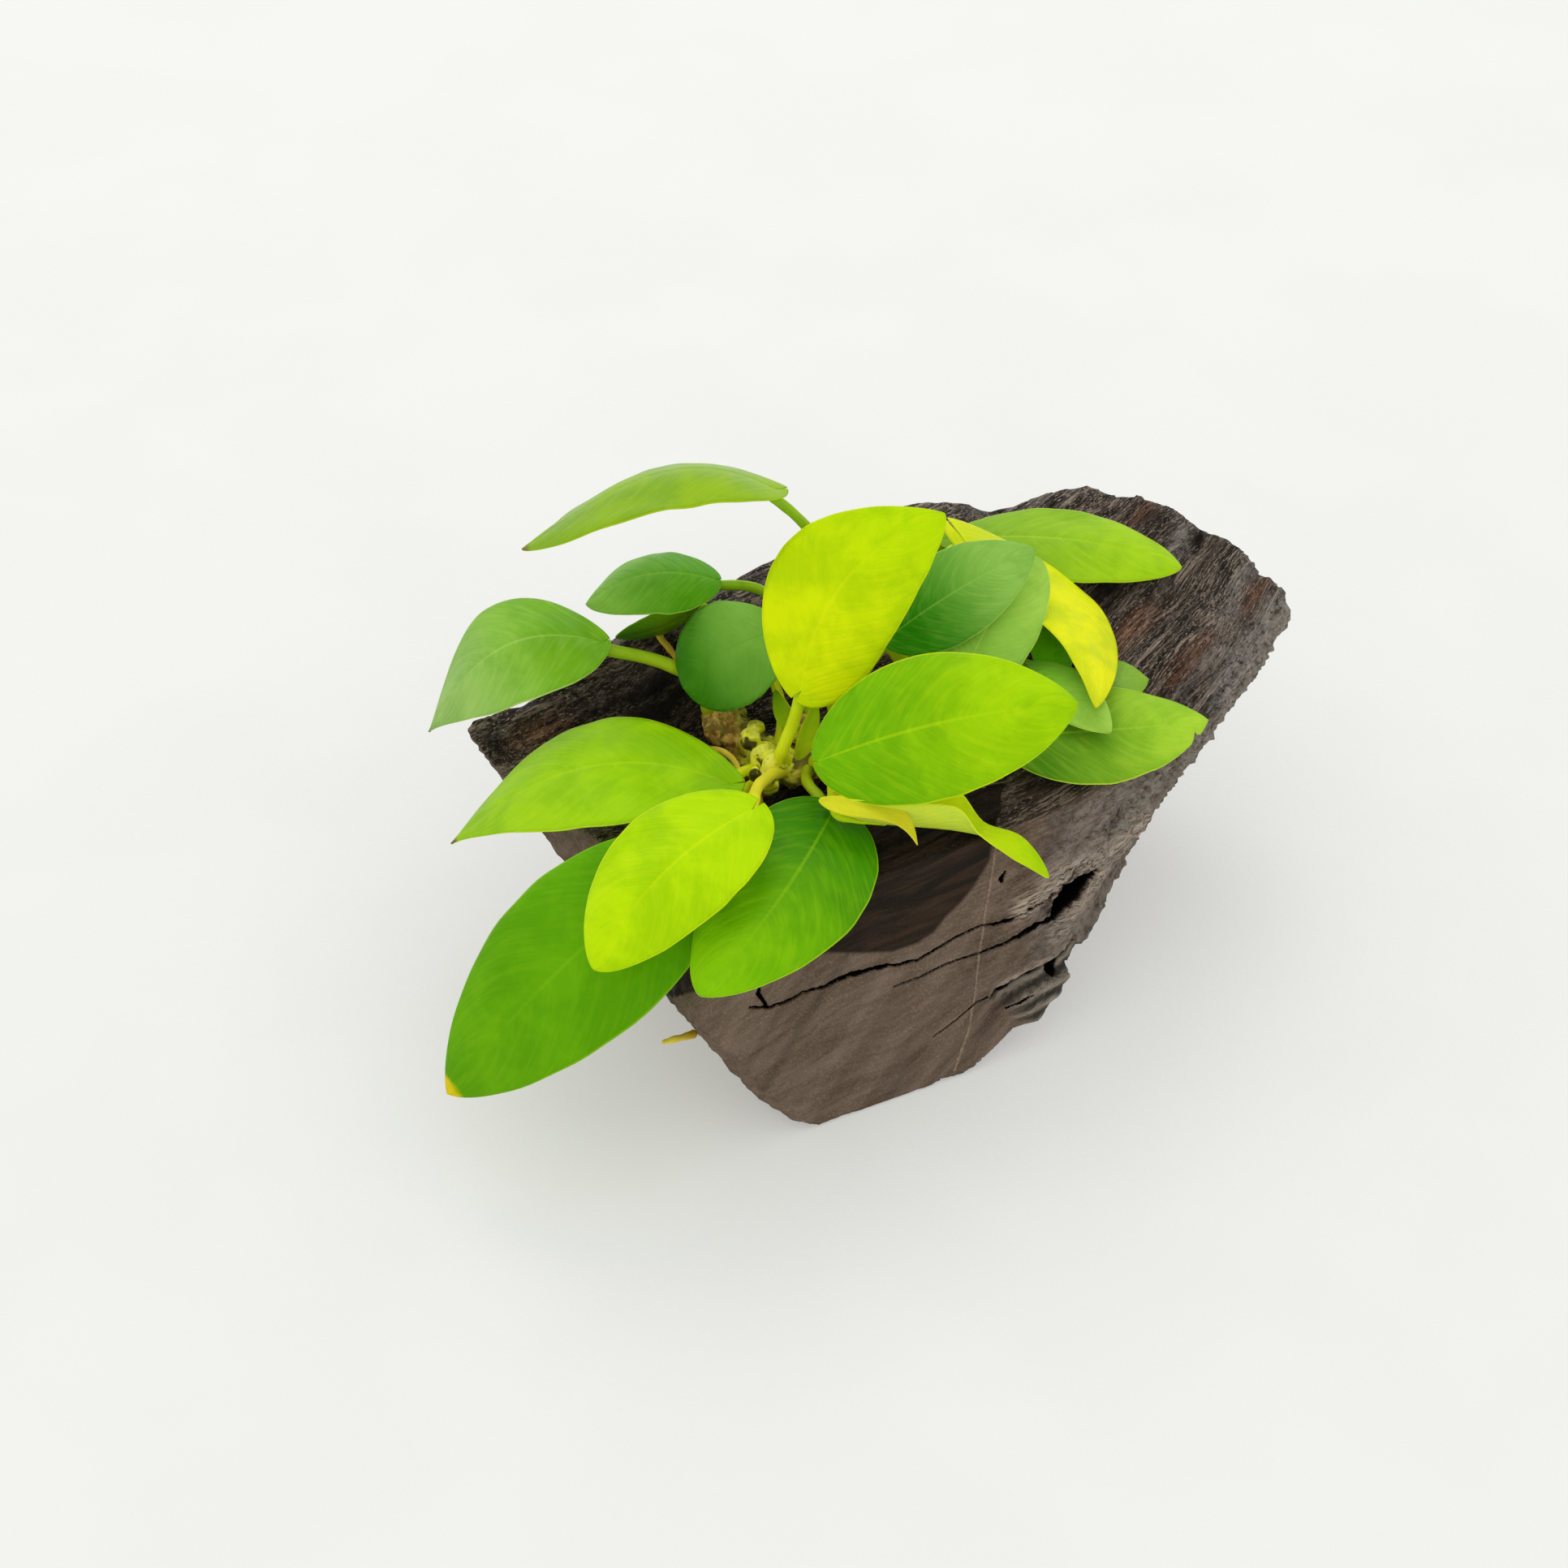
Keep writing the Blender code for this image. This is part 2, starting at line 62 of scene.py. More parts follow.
# Planes that cut the left end straight and wear the right side back. Each is seen edge on between
# two pixels. Then come how far further out it lies and the height that it starts from.
CUTS = [((820, 1223), (948, 1369), 0, -3), ((572, 896), (820, 1223), 0, -3),
        ((1372, 1075), (1505, 893), -0.9, 20)]
# Cracks and holes of the front: the depth, and a line of pixels, each with half the width there
OPENINGS = {
    "long crack": (2.2, [
        (924, 1241, 0.25), (948, 1241, 0.45), (965, 1236, 0.3), (989, 1223, 0.3), (1019, 1215, 0.35),
        (1028, 1209, 0.55), (1050, 1200, 0.5), (1078, 1193, 0.55), (1102, 1189, 0.4), (1130, 1183, 0.3),
        (1157, 1167, 0.3), (1184, 1151, 0.32), (1209, 1140, 0.2), (1224, 1139, 0.42), (1245, 1133, 0.38),
        (1256, 1126, 0.12), (1270, 1118, 0.4), (1286, 1109, 0.15)]),
    "its branch": (1.6, [(944, 1238, 0.3), (934, 1225, 0.5), (937, 1214, 0.2)]),
    "crack to the eye": (2.2, [
        (1100, 1216, 0.12), (1130, 1205, 0.2), (1166, 1188, 0.24), (1209, 1174, 0.24), (1238, 1163, 0.35),
        (1256, 1154, 0.55), (1274, 1143, 0.65), (1288, 1136, 0.5), (1297, 1131, 0.5)]),
    "thin crack": (0.8, [(1150, 1278, 0.1), (1180, 1256, 0.16), (1202, 1234, 0.16), (1216, 1228, 0.22)]),
    "gap under the lip": (2.5, [
        (1220, 1229, 0.25), (1231, 1219, 0.9), (1252, 1208, 0.5), (1270, 1199, 0.8), (1285, 1191, 0.3)]),
    "wedge in the fin": (2.5, [(1289, 1207, 0.3), (1297, 1193, 0.85), (1310, 1173, 0.35)]),
    "low gap": (1.2, [(1236, 1243, 0.25), (1247, 1235, 0.35), (1256, 1230, 0.2)]),
    "pit": (1.5, [(1234, 1084, 0.6), (1238, 1074, 0.25)]),
    "eye": (6.5, [
        (1299, 1127, 0.5), (1306, 1112, 1.05), (1318, 1098, 1.2), (1332, 1084, 0.85), (1350, 1072, 0.25)]),
}
LIP = [(1216, 1228), (1231, 1215), (1252, 1203), (1274, 1192), (1299, 1179), (1310, 1172),
       (1319, 1156), (1321, 1149)]
FIN_WIDTH = 9.5
LAYER_TURN = 3.4
RIM_WIDTH = 1.9
EYE_RIMS = [
    [(1259, 1120), (1288, 1098), (1325, 1069), (1353, 1061), (1380, 1038), (1412, 1008)],
    [(1303, 1151), (1321, 1123), (1339, 1096), (1354, 1074)],
]
PALE_VEIN = [(1227, 1041), (1224, 1066), (1220, 1093), (1215, 1120), (1211, 1147), (1207, 1174),
             (1204, 1201), (1202, 1224), (1197, 1246), (1193, 1273), (1184, 1295), (1176, 1318)]
WET_EDGE = [(1232, 1006), (1220, 1061), (1207, 1084), (1189, 1109), (1166, 1131), (1152, 1149),
            (1130, 1163), (1100, 1173), (1060, 1176), (1020, 1176), (845, 1226)]
# The crumbled right edge and the patches are given in millimetres. A patch has its middle,
# half its length and width, how red it is and how much paler, or darker below 0. The dark patches
# are partly wet stains and partly painted shade, under the leaves and in the hollow.
RIGHT_SIDE_FROM = 26
CRUMBLED_WIDTH = 7
RIGHT_EDGE = [(44, -11, 37), (52, -3.5, 42.5), (61.5, 11, 42), (68, 21.5, 47), (75, 34.5, 47)]
PATCHES = [
    ((47, 24.5, 52.5), 9, 2.6, 1, 0.15), ((57, 19, 50), 9, 3, 0.8, 0),
    ((70, 38, 50), 7, 3, 0.6, 0.1), ((50.5, 52, 57), 5, 2, 0.8, 0.2),
    ((44, 35, 54), 13, 3.5, 0.2, -0.9), ((57, 14, 48), 8, 3, 0, -0.55),
    ((62, 45, 53), 9, 3, 0, 0.3), ((61, 49, 53.5), 2.6, 1.8, 0, -1.2),
    ((51.5, 51, 57.5), 2.6, 1.8, 0.3, -0.9), ((-38, 16, 40), 24, 14, 0.1, -1.1),
    ((-56, 13, 40), 6, 2.6, 0.9, 0.75), ((-59, 5, 39), 9, 4, 0, 0.7),
    ((-65, 8.5, 40.5), 1.6, 3, 0, -1), ((-8, -22, 43), 26, 7, 0, -0.7),
    ((33, -14, 40), 9, 5, 0.3, -0.35), ((25, -14, 46), 9, 5, 0.2, -0.6),
    ((-12, -9, 42), 12, 8, 0, -1.3), ((-35, -40, 29), 5, 6, 0, -0.8),
    ((-2, -36, 14), 22, 9, 0, -0.16), ((13, -31, 22), 8, 5, 0, 0.12),
    ((21.5, -29, 7), 5, 3.6, 0, -0.35), ((13, -32, 13), 7, 3.2, 0, 0.28),
    ((24, -19, 30), 9, 5, 0, 0.08),
]


def new_object(name, data):
    made = bpy.data.objects.new(name, data)
    bpy.context.scene.collection.objects.link(made)
    return made


def modified(mesh, kind, **settings):
    """The mesh as one modifier leaves it"""
    holder = new_object("holder", mesh)
    modifier = holder.modifiers.new(kind, kind)
    for key, value in settings.items():
        setattr(modifier, key, value)
    graph = bpy.context.evaluated_depsgraph_get()
    result = bpy.data.meshes.new_from_object(holder.evaluated_get(graph))
    bpy.data.objects.remove(holder, do_unlink=True)
    return result


def read_out(mesh):
    """Places and normals of the vertices"""
    points = np.zeros(len(mesh.vertices) * 3, np.float32)
    normals = np.zeros_like(points)
    mesh.vertices.foreach_get("co", points)
    mesh.vertex_normals.foreach_get("vector", normals)
    return points.reshape(-1, 3).astype(float), normals.reshape(-1, 3).astype(float)


def write_back(mesh, points):
    mesh.vertices.foreach_set("co", points.astype(np.float32).ravel())
    mesh.update()


def kept(mesh, name, rows):
    """Three numbers kept at each vertex for the colours"""
    layer = mesh.attributes.new(name, "FLOAT_VECTOR", "POINT")
    layer.data.foreach_set("vector", np.array(rows, np.float32).ravel())


def target(mesh):
    """The mesh as something that a straight line can be cast at"""
    return BVHTree.FromPolygons([v.co for v in mesh.vertices], [p.vertices for p in mesh.polygons])


def sight(x, y):
    """The way from the camera through a pixel of the photograph"""
    pixels = PICTURE_WIDTH * LENS / SENSOR
    right, down = (x - PICTURE_WIDTH / 2) / pixels, (y - PICTURE_WIDTH / 2) / pixels
    upright = Vector((0, math.sin(LOOK_DOWN), math.cos(LOOK_DOWN)))
    return (Vector(SLOPE) + Vector((1, 0, 0)) * right - upright * down).normalized()


def on_wood(pixels):
    """The places on the wood behind a line of pixels, each with the values that come with it"""
    return [(*plain_wood.ray_cast(CAMERA, sight(x, y))[0], *values) for x, y, *values in pixels]


def from_path(points, path):
    """For each point its distance from a broken line on the front, as the camera sees it, below 0
    on the right of the line's way, and the line's own place and values there"""
    path = [np.array(p, float) for p in path]
    best = np.full(len(points), 1e9)
    side = np.ones(len(points))
    values = np.zeros((len(points), len(path[0])))
    for start, end in zip(path, path[1:]):
        way = end[:3] - start[:3]
        way = way - (way @ SLOPE) * SLOPE
        offset = points - start[:3]
        offset = offset - (offset @ SLOPE)[:, None] * SLOPE
        along = np.clip((offset @ way) / (way @ way), 0, 1)
        rest = offset - along[:, None] * way
        distance = np.linalg.norm(rest, axis=1)
        closer = distance < best
        best[closer] = distance[closer]
        side[closer] = np.sign(np.cross(way, rest[closer]) @ -SLOPE)
        values[closer] = (start + along[:, None] * (end - start))[closer]
    return best * side, values


def ease(low, high, value):
    """0 below low, 1 above high and a soft step between"""
    share = np.clip((value - low) / (high - low), 0, 1)
    return share * share * (3 - 2 * share)


def grain_place(p):
    """How far along the grain a point lies, and its place across it in two ways. The grain turns
    steeper towards the high right end and fans out at the foot of the front face."""
    wander = noise.noise_vector(p / 30) * 4
    bend = 0.6 * p.x + 0.01 * max(0, p.x - 15) ** 2
    fan = max(0.12, min(0.65, 0.12 + 0.035 * (28 - p.z))) if p.x > 5 else 0.12
    along = 0.84 * p.x + 0.54 * p.y
    across = 0.8 * (p.y - bend) + wander.x
    height = p.z - fan * (p.x - 5) + wander.z
    return along, across, height


def refined(mesh, reach):
    """Halves the faces near the openings and the lip, so that their edges come out sharp"""
    points, normals = read_out(mesh)
    near = np.abs(from_path(points, lip)[0]) - 1.0
    for depth, path in openings:
        distance, values = from_path(points, path)
        near = np.minimum(near, np.abs(distance) - values[:, 3])
    chosen = (near < reach) & (normals @ OUT_OF_FRONT > -0.1) & (points @ OUT_OF_FRONT > FRONT_FROM)
    bm = bmesh.new()
    bm.from_mesh(mesh)
    edges = [e for e in bm.edges if chosen[e.verts[0].index] and chosen[e.verts[1].index]]
    bmesh.ops.subdivide_edges(bm, edges=edges, cuts=1, use_grid_fill=True)
    bm.to_mesh(mesh)
    bm.free()


wood_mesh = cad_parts["driftwood"].data.copy()
for vertex in wood_mesh.vertices:
    vertex.co *= 1000
plain_wood = target(wood_mesh)
openings = [(deep, on_wood(line)) for deep, line in OPENINGS.values()]
lip = on_wood(LIP)
wood_mesh = modified(wood_mesh, "REMESH", mode="VOXEL", voxel_size=WOOD_CELL)
wood_mesh = modified(wood_mesh, "SMOOTH", factor=0.5, iterations=4)
points, normals = read_out(wood_mesh)

# The front is worn almost flat: it is drawn towards a smooth sheet fitted through it
depth = points @ OUT_OF_FRONT
share = ease(0.55, 0.85, normals @ OUT_OF_FRONT) * (depth > FRONT_FROM + 2)
x, z = points[:, 0] / 40, points[:, 2] / 40
terms = np.stack([x ** i * z ** j for i in range(4) for j in range(4 - i)], axis=1)
flat_front = share > 0.9
fit = np.linalg.lstsq(terms[flat_front], depth[flat_front], rcond=None)[0]
points += OUT_OF_FRONT * ((terms @ fit - depth) * 0.8 * share)[:, None]
for middle, push, reach in SWELLINGS:
    points += np.array(push) * np.exp(-np.sum((points - middle) ** 2, axis=1) / reach)[:, None]
for first, second, further_out, start in CUTS:
    out = sight(*first).cross(sight(*second)).normalized()
    place = CAMERA.dot(out) + further_out
    out = np.array(out)
    points -= out * (np.maximum(0, points @ out - place) * ease(start, start + 3, points[:, 2]))[:, None]
write_back(wood_mesh, points)
refined(wood_mesh, 1.5)
refined(wood_mesh, 0.7)
points, normals = read_out(wood_mesh)

towards_front = normals @ OUT_OF_FRONT
faces_front = ease(0.35, 0.75, towards_front) * (points @ OUT_OF_FRONT > FRONT_FROM)
faces_up = ease(0.3, 0.7, normals[:, 2]) * (1 - faces_front)
faces_up_or_back = ease(-0.1, 0.3, normals @ np.array((0, 0.8, 0.6)))
under = ease(0.4, 3, points[:, 2])
grain = np.array([grain_place(Vector(p)) for p in points])
ridges, fibres, broad, crumbs, grit = np.array([(
    noise.noise(Vector((a / 17, b / 2.1, c / 2.6))),
    noise.noise(Vector((a / 9 + 31, b / 1.25, c / 1.5))),
    noise.noise(Vector((a / 24 + 5, b / 6.5, c / 6.5))),
    noise.fractal(Vector(p / 2.2), 1.0, 2.0, 2),
    noise.noise(Vector(p / 1.1)),
) for (a, b, c), p in zip(grain, points)]).T

edge_gap = np.linalg.norm(points - from_path(points, RIGHT_EDGE)[1], axis=1)
crumbled = 1 - ease(1.5, CRUMBLED_WIDTH, edge_gap)
right_side = ease(0.25, 0.7, normals @ np.array((0.9, -0.3, -0.1)))
right_side *= ease(RIGHT_SIDE_FROM, RIGHT_SIDE_FROM + 8, points[:, 0])
crumbled = np.maximum(crumbled, right_side * (1 - 0.4 * faces_front))
rough_share = 1 - 0.86 * faces_front * (1 - crumbled)
lift = (0.55 * ridges + 0.35 * fibres + 0.3 * broad) * rough_share
lift += 0.12 * broad * faces_front
lift += (0.75 * crumbs + 0.55 * grit) * crumbled + 0.2 * crumbs * faces_up
fin_gap = -from_path(points, lip)[0]
near_fin = ease(-0.3, 0.3, fin_gap) * ease(FIN_WIDTH, FIN_WIDTH - 2, fin_gap) * faces_front
edge_on = ease(0.7, 1, 1 - np.abs(normals @ SLOPE)) * (points[:, 0] > 20) * faces_up_or_back
lift *= under * (1 - 0.7 * edge_on) * (1 - 0.7 * near_fin)
points += normals * lift[:, None]

# The lip over the set-back fin at the foot of the front, the fibrous rims of the eye, and the
# openings themselves with torn edges
lip_distance, lip_values = from_path(points, lip)
lip_place = np.clip((lip_values[:, 0] - lip[0][0]) / (lip[-1][0] - lip[0][0]), 0, 1)
below_lip = ease(0.05, 0.55, -lip_distance - 0.25 * fibres)
span = ease(0, 0.1, lip_place) * ease(1, 0.96, lip_place) * ease(-0.1, 0.3, towards_front)
span *= ease(FIN_WIDTH, FIN_WIDTH - 2, np.abs(lip_distance))
fin = below_lip * span
layers = np.sin(-LAYER_TURN * lip_distance + 1.6 * ridges)
set_back = fin * (1.5 + 0.3 * layers - 0.2 * np.abs(lip_distance))
rim = 0
for line in EYE_RIMS:
    distance, values = from_path(points, on_wood(line))
    rim = np.maximum(rim, np.exp(-(distance / RIM_WIDTH) ** 2) * ease(-0.3, 0.2, towards_front))
set_back -= rim * (0.5 + 0.6 * fibres + 0.35 * grit)
inwards = (SLOPE - OUT_OF_FRONT) / np.linalg.norm(SLOPE - OUT_OF_FRONT)
opening = 3
sunk = 0
for deep, path in openings:
    distance, values = from_path(points, path)
    is_eye = deep == OPENINGS["eye"][0]
    width = values[:, 3] * (1.25 if is_eye else 0.75)
    torn = 0.45 * crumbs * np.minimum(1, values[:, 3]) + 0.16 * grit
    torn *= np.minimum(1, width / 0.4) * (0.4 if is_eye else 1)
    in_widths = np.abs(distance + torn) / width
    in_widths = np.where((towards_front > 0) & (points @ OUT_OF_FRONT > FRONT_FROM), in_widths, 3)
    sunk = sunk + ease(1.05, 0.7, in_widths) * deep
    opening = np.minimum(opening, in_widths)
points[:, 0] += 3 * fin * ease(1.5, 4, np.abs(lip_distance)) * ease(0.9, 0.7, lip_place)
points += inwards * sunk[:, None] - OUT_OF_FRONT * set_back[:, None]

# Distances from the pale vein and into the wet patch, streaks, stains, painted shade and crumbled
# grey, all kept at the vertices for the colours
vein = np.where(faces_front > 0.3, from_path(points, on_wood(PALE_VEIN))[0], 10)
wet = np.where(points @ OUT_OF_FRONT > FRONT_FROM - 3, -from_path(points, on_wood(WET_EDGE))[0], -10)
slant = points[:, 2] - 1.4 * points[:, 0]
tone = np.array([
    0.55 * noise.noise(Vector((s / 9, y / 60, 3))) + 0.35 * noise.noise(Vector((s / 3.2, y / 40, 8)))
    for s, y in zip(slant, points[:, 1])]) * faces_front
red = 0
for centre, length, width, redness, paler in PATCHES:
    middle = np.array(grain_place(Vector(centre)))
    gap = (grain - middle) / np.array((length, width, width * 1.6))
    share = np.exp(-np.sum(gap ** 2, axis=1) * 1.2) * (1 + 0.5 * ridges)
    tone += paler * share
    red = red + redness * share

write_back(wood_mesh, points)
kept(wood_mesh, "grain", grain)
kept(wood_mesh, "marks", np.stack([opening, fin, rim], axis=1))
kept(wood_mesh, "zones", np.stack([vein, wet, tone], axis=1))
kept(wood_mesh, "sides", np.stack([faces_up, np.clip(crumbled, 0, 1), red], axis=1))
kept(wood_mesh, "ledge", np.stack([-lip_distance, span, fin], axis=1))


def add_piece(name, mesh, mat, node):
    """A mesh in millimetres becomes a piece in metres that stands for its node of the frame"""
    for vertex in mesh.vertices:
        vertex.co *= 0.001
    mesh.name = name
    mesh.shade_smooth()
    mesh.materials.clear()
    mesh.materials.append(mat)
    piece = new_object(name, mesh)
    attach(piece, "root")
    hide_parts(node)


def paint(red, green, blue):
    """A colour as the eye reads it, 0 to 255, as the shader wants it"""
    return tuple((c / 255 / 12.92 if c <= 10 else ((c / 255 + 0.055) / 1.055) ** 2.4)
                 for c in (red, green, blue)) + (1.0,)


def give(node, inputs):
    """Sets the inputs of a node, each by its name or its number, to values or to other sockets"""
    for key, value in inputs.items():
        if isinstance(value, bpy.types.NodeSocket):
            node.id_data.links.new(value, node.inputs[key])
        else:
            node.inputs[key].default_value = value


def new_material(name, roughness, specular):
    """A material with its node tree, its shader and the place in space"""
    mat = bpy.data.materials.new(name)
    mat.use_nodes = True
    shader = mat.node_tree.nodes["Principled BSDF"]
    space = mat.node_tree.nodes.new("ShaderNodeTexCoord").outputs["Object"]
    give(shader, {"Roughness": roughness, "Specular IOR Level": specular})
    return mat, mat.node_tree, shader, space


def add_node(kind, inputs, output=0, **settings):
    """One output of a new node in the material that the sockets among its inputs belong to"""
    tree = next(value.id_data for value in inputs.values() if isinstance(value, bpy.types.NodeSocket))
    made = tree.nodes.new("ShaderNode" + kind)
    for key, value in settings.items():
        setattr(made, key, value)
    give(made, inputs)
    return made.outputs[output]


def calc(operation, first, second=0.0, third=0.0, clamp=False):
    return add_node("Math", {0: first, 1: second, 2: third}, operation=operation, use_clamp=clamp)


def times(first, second, clamp=False):
    return calc("MULTIPLY", first, second, clamp=clamp)


def stored(tree, name):
    """Three numbers kept at each vertex"""
    source = tree.nodes.new("ShaderNodeAttribute")
    source.attribute_name = name
    parts = tree.nodes.new("ShaderNodeSeparateXYZ")
    give(parts, {0: source.outputs["Vector"]})
    return source.outputs["Vector"], parts.outputs


def stretched(vector, scale):
    return add_node("VectorMath", {0: vector, 1: scale}, operation="MULTIPLY")


def cloudy(vector, scale, detail=3.0, rough=0.55, twist=0.0):
    settings = {"Scale": scale, "Detail": detail, "Roughness": rough, "Distortion": twist}
    return add_node("TexNoise", {"Vector": vector, **settings})


def step(value, low, high, start=0.0, end=1.0):
    """Goes softly from start to end while the value goes from low to high"""
    limits = {"From Min": low, "From Max": high, "To Min": start, "To Max": end}
    return add_node("MapRange", {"Value": value, **limits}, interpolation_type="SMOOTHSTEP")


def blend(share, first, second, way="MIX"):
    """Two colours mixed. One that is given as three numbers is as the eye reads it, 0 to 255."""
    first, second = (paint(*c) if isinstance(c, tuple) and len(c) == 3 else c for c in (first, second))
    return add_node("Mix", {0: share, 6: first, 7: second}, 2, data_type="RGBA", blend_type=way)


def relief(shader, height, depth, strength):
    bump = add_node("Bump", {"Strength": strength, "Distance": depth, "Height": height})
    give(shader, {"Normal": bump})


wood_mat, tree, shader, space = new_material("bog_wood", 0.6, 0.14)
along_grain, grain_parts = stored(tree, "grain")
_, marks = stored(tree, "marks")
_, zones = stored(tree, "zones")
_, sides = stored(tree, "sides")
_, ledge = stored(tree, "ledge")
streaks = cloudy(stretched(along_grain, (0.06, 0.5, 0.42)), 1.0, 4.0, 0.62, 0.6)
threads = cloudy(stretched(along_grain, (0.2, 2.4, 2.2)), 1.0, 5.0, 0.74, 0.3)
furrows = cloudy(stretched(along_grain, (0.07, 0.8, 0.75)), 1.0, 4.0, 0.6, 0.5)
specks = cloudy(stretched(along_grain, (1.1, 3.4, 3.4)), 1.0, 3.0, 0.65)
splinters = cloudy(stretched(along_grain, (0.22, 2.6, 2.4)), 1.0, 4.0, 0.7, 0.4)
sand = cloudy(space, 2600, 2.0, 0.6)
clumps = cloudy(space, 800, 4.0, 0.65)

# The front: matt taupe with fine lines and a sandy skin
front = blend(step(streaks, 0.34, 0.68), (101, 84, 69), (123, 106, 91))
front = blend(times(step(threads, 0.46, 0.3), 0.5), front, (70, 57, 47))
near_eye = step(grain_parts[0], -14, 14)
scratches = times(step(splinters, 0.47, 0.36), near_eye)
front = blend(times(scratches, 0.6), front, (52, 42, 35))
pale_scratches = times(step(splinters, 0.55, 0.68), near_eye)
front = blend(times(pale_scratches, 0.5), front, (162, 142, 124))
front = blend(times(step(sand, 0.48, 0.7), 0.45), front, (150, 134, 116))
# The top: coarse wet grain. Its furrows are painted near black as shade in the grooves, and its pale specks
# are painted glints
top = blend(step(threads, 0.4, 0.6), (44, 35, 29), (172, 153, 135))
top = blend(step(streaks, 0.58, 0.38), top, (46, 37, 31))
furrow = step(calc("ABSOLUTE", calc("SUBTRACT", furrows, 0.5)), 0.05, 0.008)
top = blend(times(furrow, 0.85), top, (16, 12, 10))
# Pale specks: painted glints on the wet top
painted_glint = times(step(specks, 0.56, 0.66), 0.8)
top = blend(painted_glint, top, (214, 202, 188))
colour = blend(sides[0], front, top)
redness = times(sides[2], step(threads, 0.38, 0.6), clamp=True)
colour = blend(times(redness, 0.75), colour, (172, 112, 76))
grey_share = times(sides[1], step(clumps, 0.32, 0.58), clamp=True)
colour = blend(times(grey_share, 0.8), colour, (182, 174, 164))
paler = times(zones[2], 0.6, clamp=True)
colour = blend(paler, colour, (160, 140, 120))
# Darker tone: partly random and stained, partly painted shade under the leaves and in the hollow
darker = times(zones[2], -0.85, clamp=True)
colour = blend(darker, colour, (22, 17, 14))
fibrous = times(marks[2], step(splinters, 0.42, 0.56))
colour = blend(times(fibrous, 0.9), colour, (216, 198, 178))
layer_wave = calc("MULTIPLY_ADD", ledge[0], LAYER_TURN, times(threads, 4.0))
layer_share = calc("MULTIPLY_ADD", calc("SINE", layer_wave), 0.5, 0.5)
fin_colour = blend(layer_share, (58, 58, 50), (186, 172, 156))
colour = blend(times(marks[1], 0.9), colour, fin_colour)
# A pale line along the edge of the lip: painted highlight
lip_highlight = times(step(ledge[0], -1.6, -0.1), step(ledge[0], 0.3, 0.0))
lip_highlight = times(lip_highlight, times(ledge[1], step(threads, 0.36, 0.6)))
colour = blend(times(lip_highlight, 0.8), colour, (190, 172, 154))
wet_share = step(calc("ADD", zones[1], times(streaks, 1.2)), 0.4, 1.2)
wet_colour = blend(step(streaks, 0.4, 0.7), (16, 10, 5), (54, 37, 25))
colour = blend(times(wet_share, 0.96), colour, wet_colour)
jag = times(calc("SUBTRACT", threads, 0.5), 1.1)
vein_line = step(calc("ABSOLUTE", calc("ADD", zones[0], jag)), 0.36, 0.1)
vein_line = times(vein_line, step(clumps, 0.36, 0.56, 0.4, 1.0))
colour = blend(times(vein_line, 0.6), colour, (172, 148, 128))
# The insides of the cracks and the eye are painted near black: painted shade in the openings
opening_shade = step(marks[0], 1.1, 0.95)
colour = blend(opening_shade, colour, (7, 5, 5))
gloss = step(threads, 0.35, 0.65, 0.3, 0.6)
matt = blend(sides[0], (0.82, 0.82, 0.82, 1), gloss)
matt = blend(sides[1], matt, (0.85, 0.85, 0.85, 1))
matt = blend(wet_share, matt, (0.6, 0.6, 0.6, 1))
give(shader, {"Base Color": colour, "Roughness": matt, "Specular Tint": (1, 0.88, 0.75, 1)})
rough_depth = calc("MULTIPLY_ADD", furrow, -0.8, calc("ADD", threads, specks))
rough_depth = calc("MULTIPLY_ADD", clumps, sides[1], rough_depth)
fine_depth = calc("MULTIPLY_ADD", threads, 0.35, times(sand, 0.45))
fine_depth = calc("MULTIPLY_ADD", times(splinters, near_eye), 0.6, fine_depth)
fine_depth = calc("MULTIPLY_ADD", vein_line, 0.3, fine_depth)
coarse = calc("MAXIMUM", calc("MAXIMUM", sides[0], sides[1]), calc("MAXIMUM", marks[1], marks[2]))
relief(shader, add_node("Mix", {0: coarse, 2: fine_depth, 3: rough_depth}), 0.0007, 0.9)
wood_target = target(wood_mesh)
add_piece("wood_block", wood_mesh, wood_mat, "driftwood")


def wood_top(x, y):
    hit = wood_target.ray_cast(Vector((x, y, 200)), Vector((0, 0, -1)))[0]
    return hit.z if hit else 0.0


# Rhizome
# The creeping stem of the plant, as thick as a pencil: rough and brown where it is old, and
# yellow-green, ringed and knobbly where the leaves stand. It lies in the hollow of the wood.
RHIZOME_RADIUS = 3.3
RHIZOME_LINE = [(-27, 12), (-21, 8), (-17, 3), (-11, 0), (-4, 4), (5, 10), (12, 16)]
RING_SPACING = 3.2
# Old leaf scars and young buds on it: the middle, the radius and how tall for its width
KNOBS = [
    (-25, 9.5, 43, 3.3, 0.9), (-23, 12.5, 43.5, 2.6, 0.9), (-19.9, 2.3, 46.3, 2, 0.9),
    (-18.9, 4.6, 47, 1.5, 0.9), (-17.3, -0.8, 45.5, 2.6, 0.9), (-15.8, -4, 46, 2.4, 0.9),
    (-18.9, -8.2, 47.6, 1.25, 1.3), (-16.6, -9.6, 47.2, 1.7, 0.9), (-12, -2, 43.5, 3, 0.8),
    (-17, -6, 44, 2.3, 0.9), (-11.5, 6, 46, 3, 0.8),
]
# The yellow-green part with the leaves lies between these two places from left to right
YOUNG_PART = (-23, -10.5)


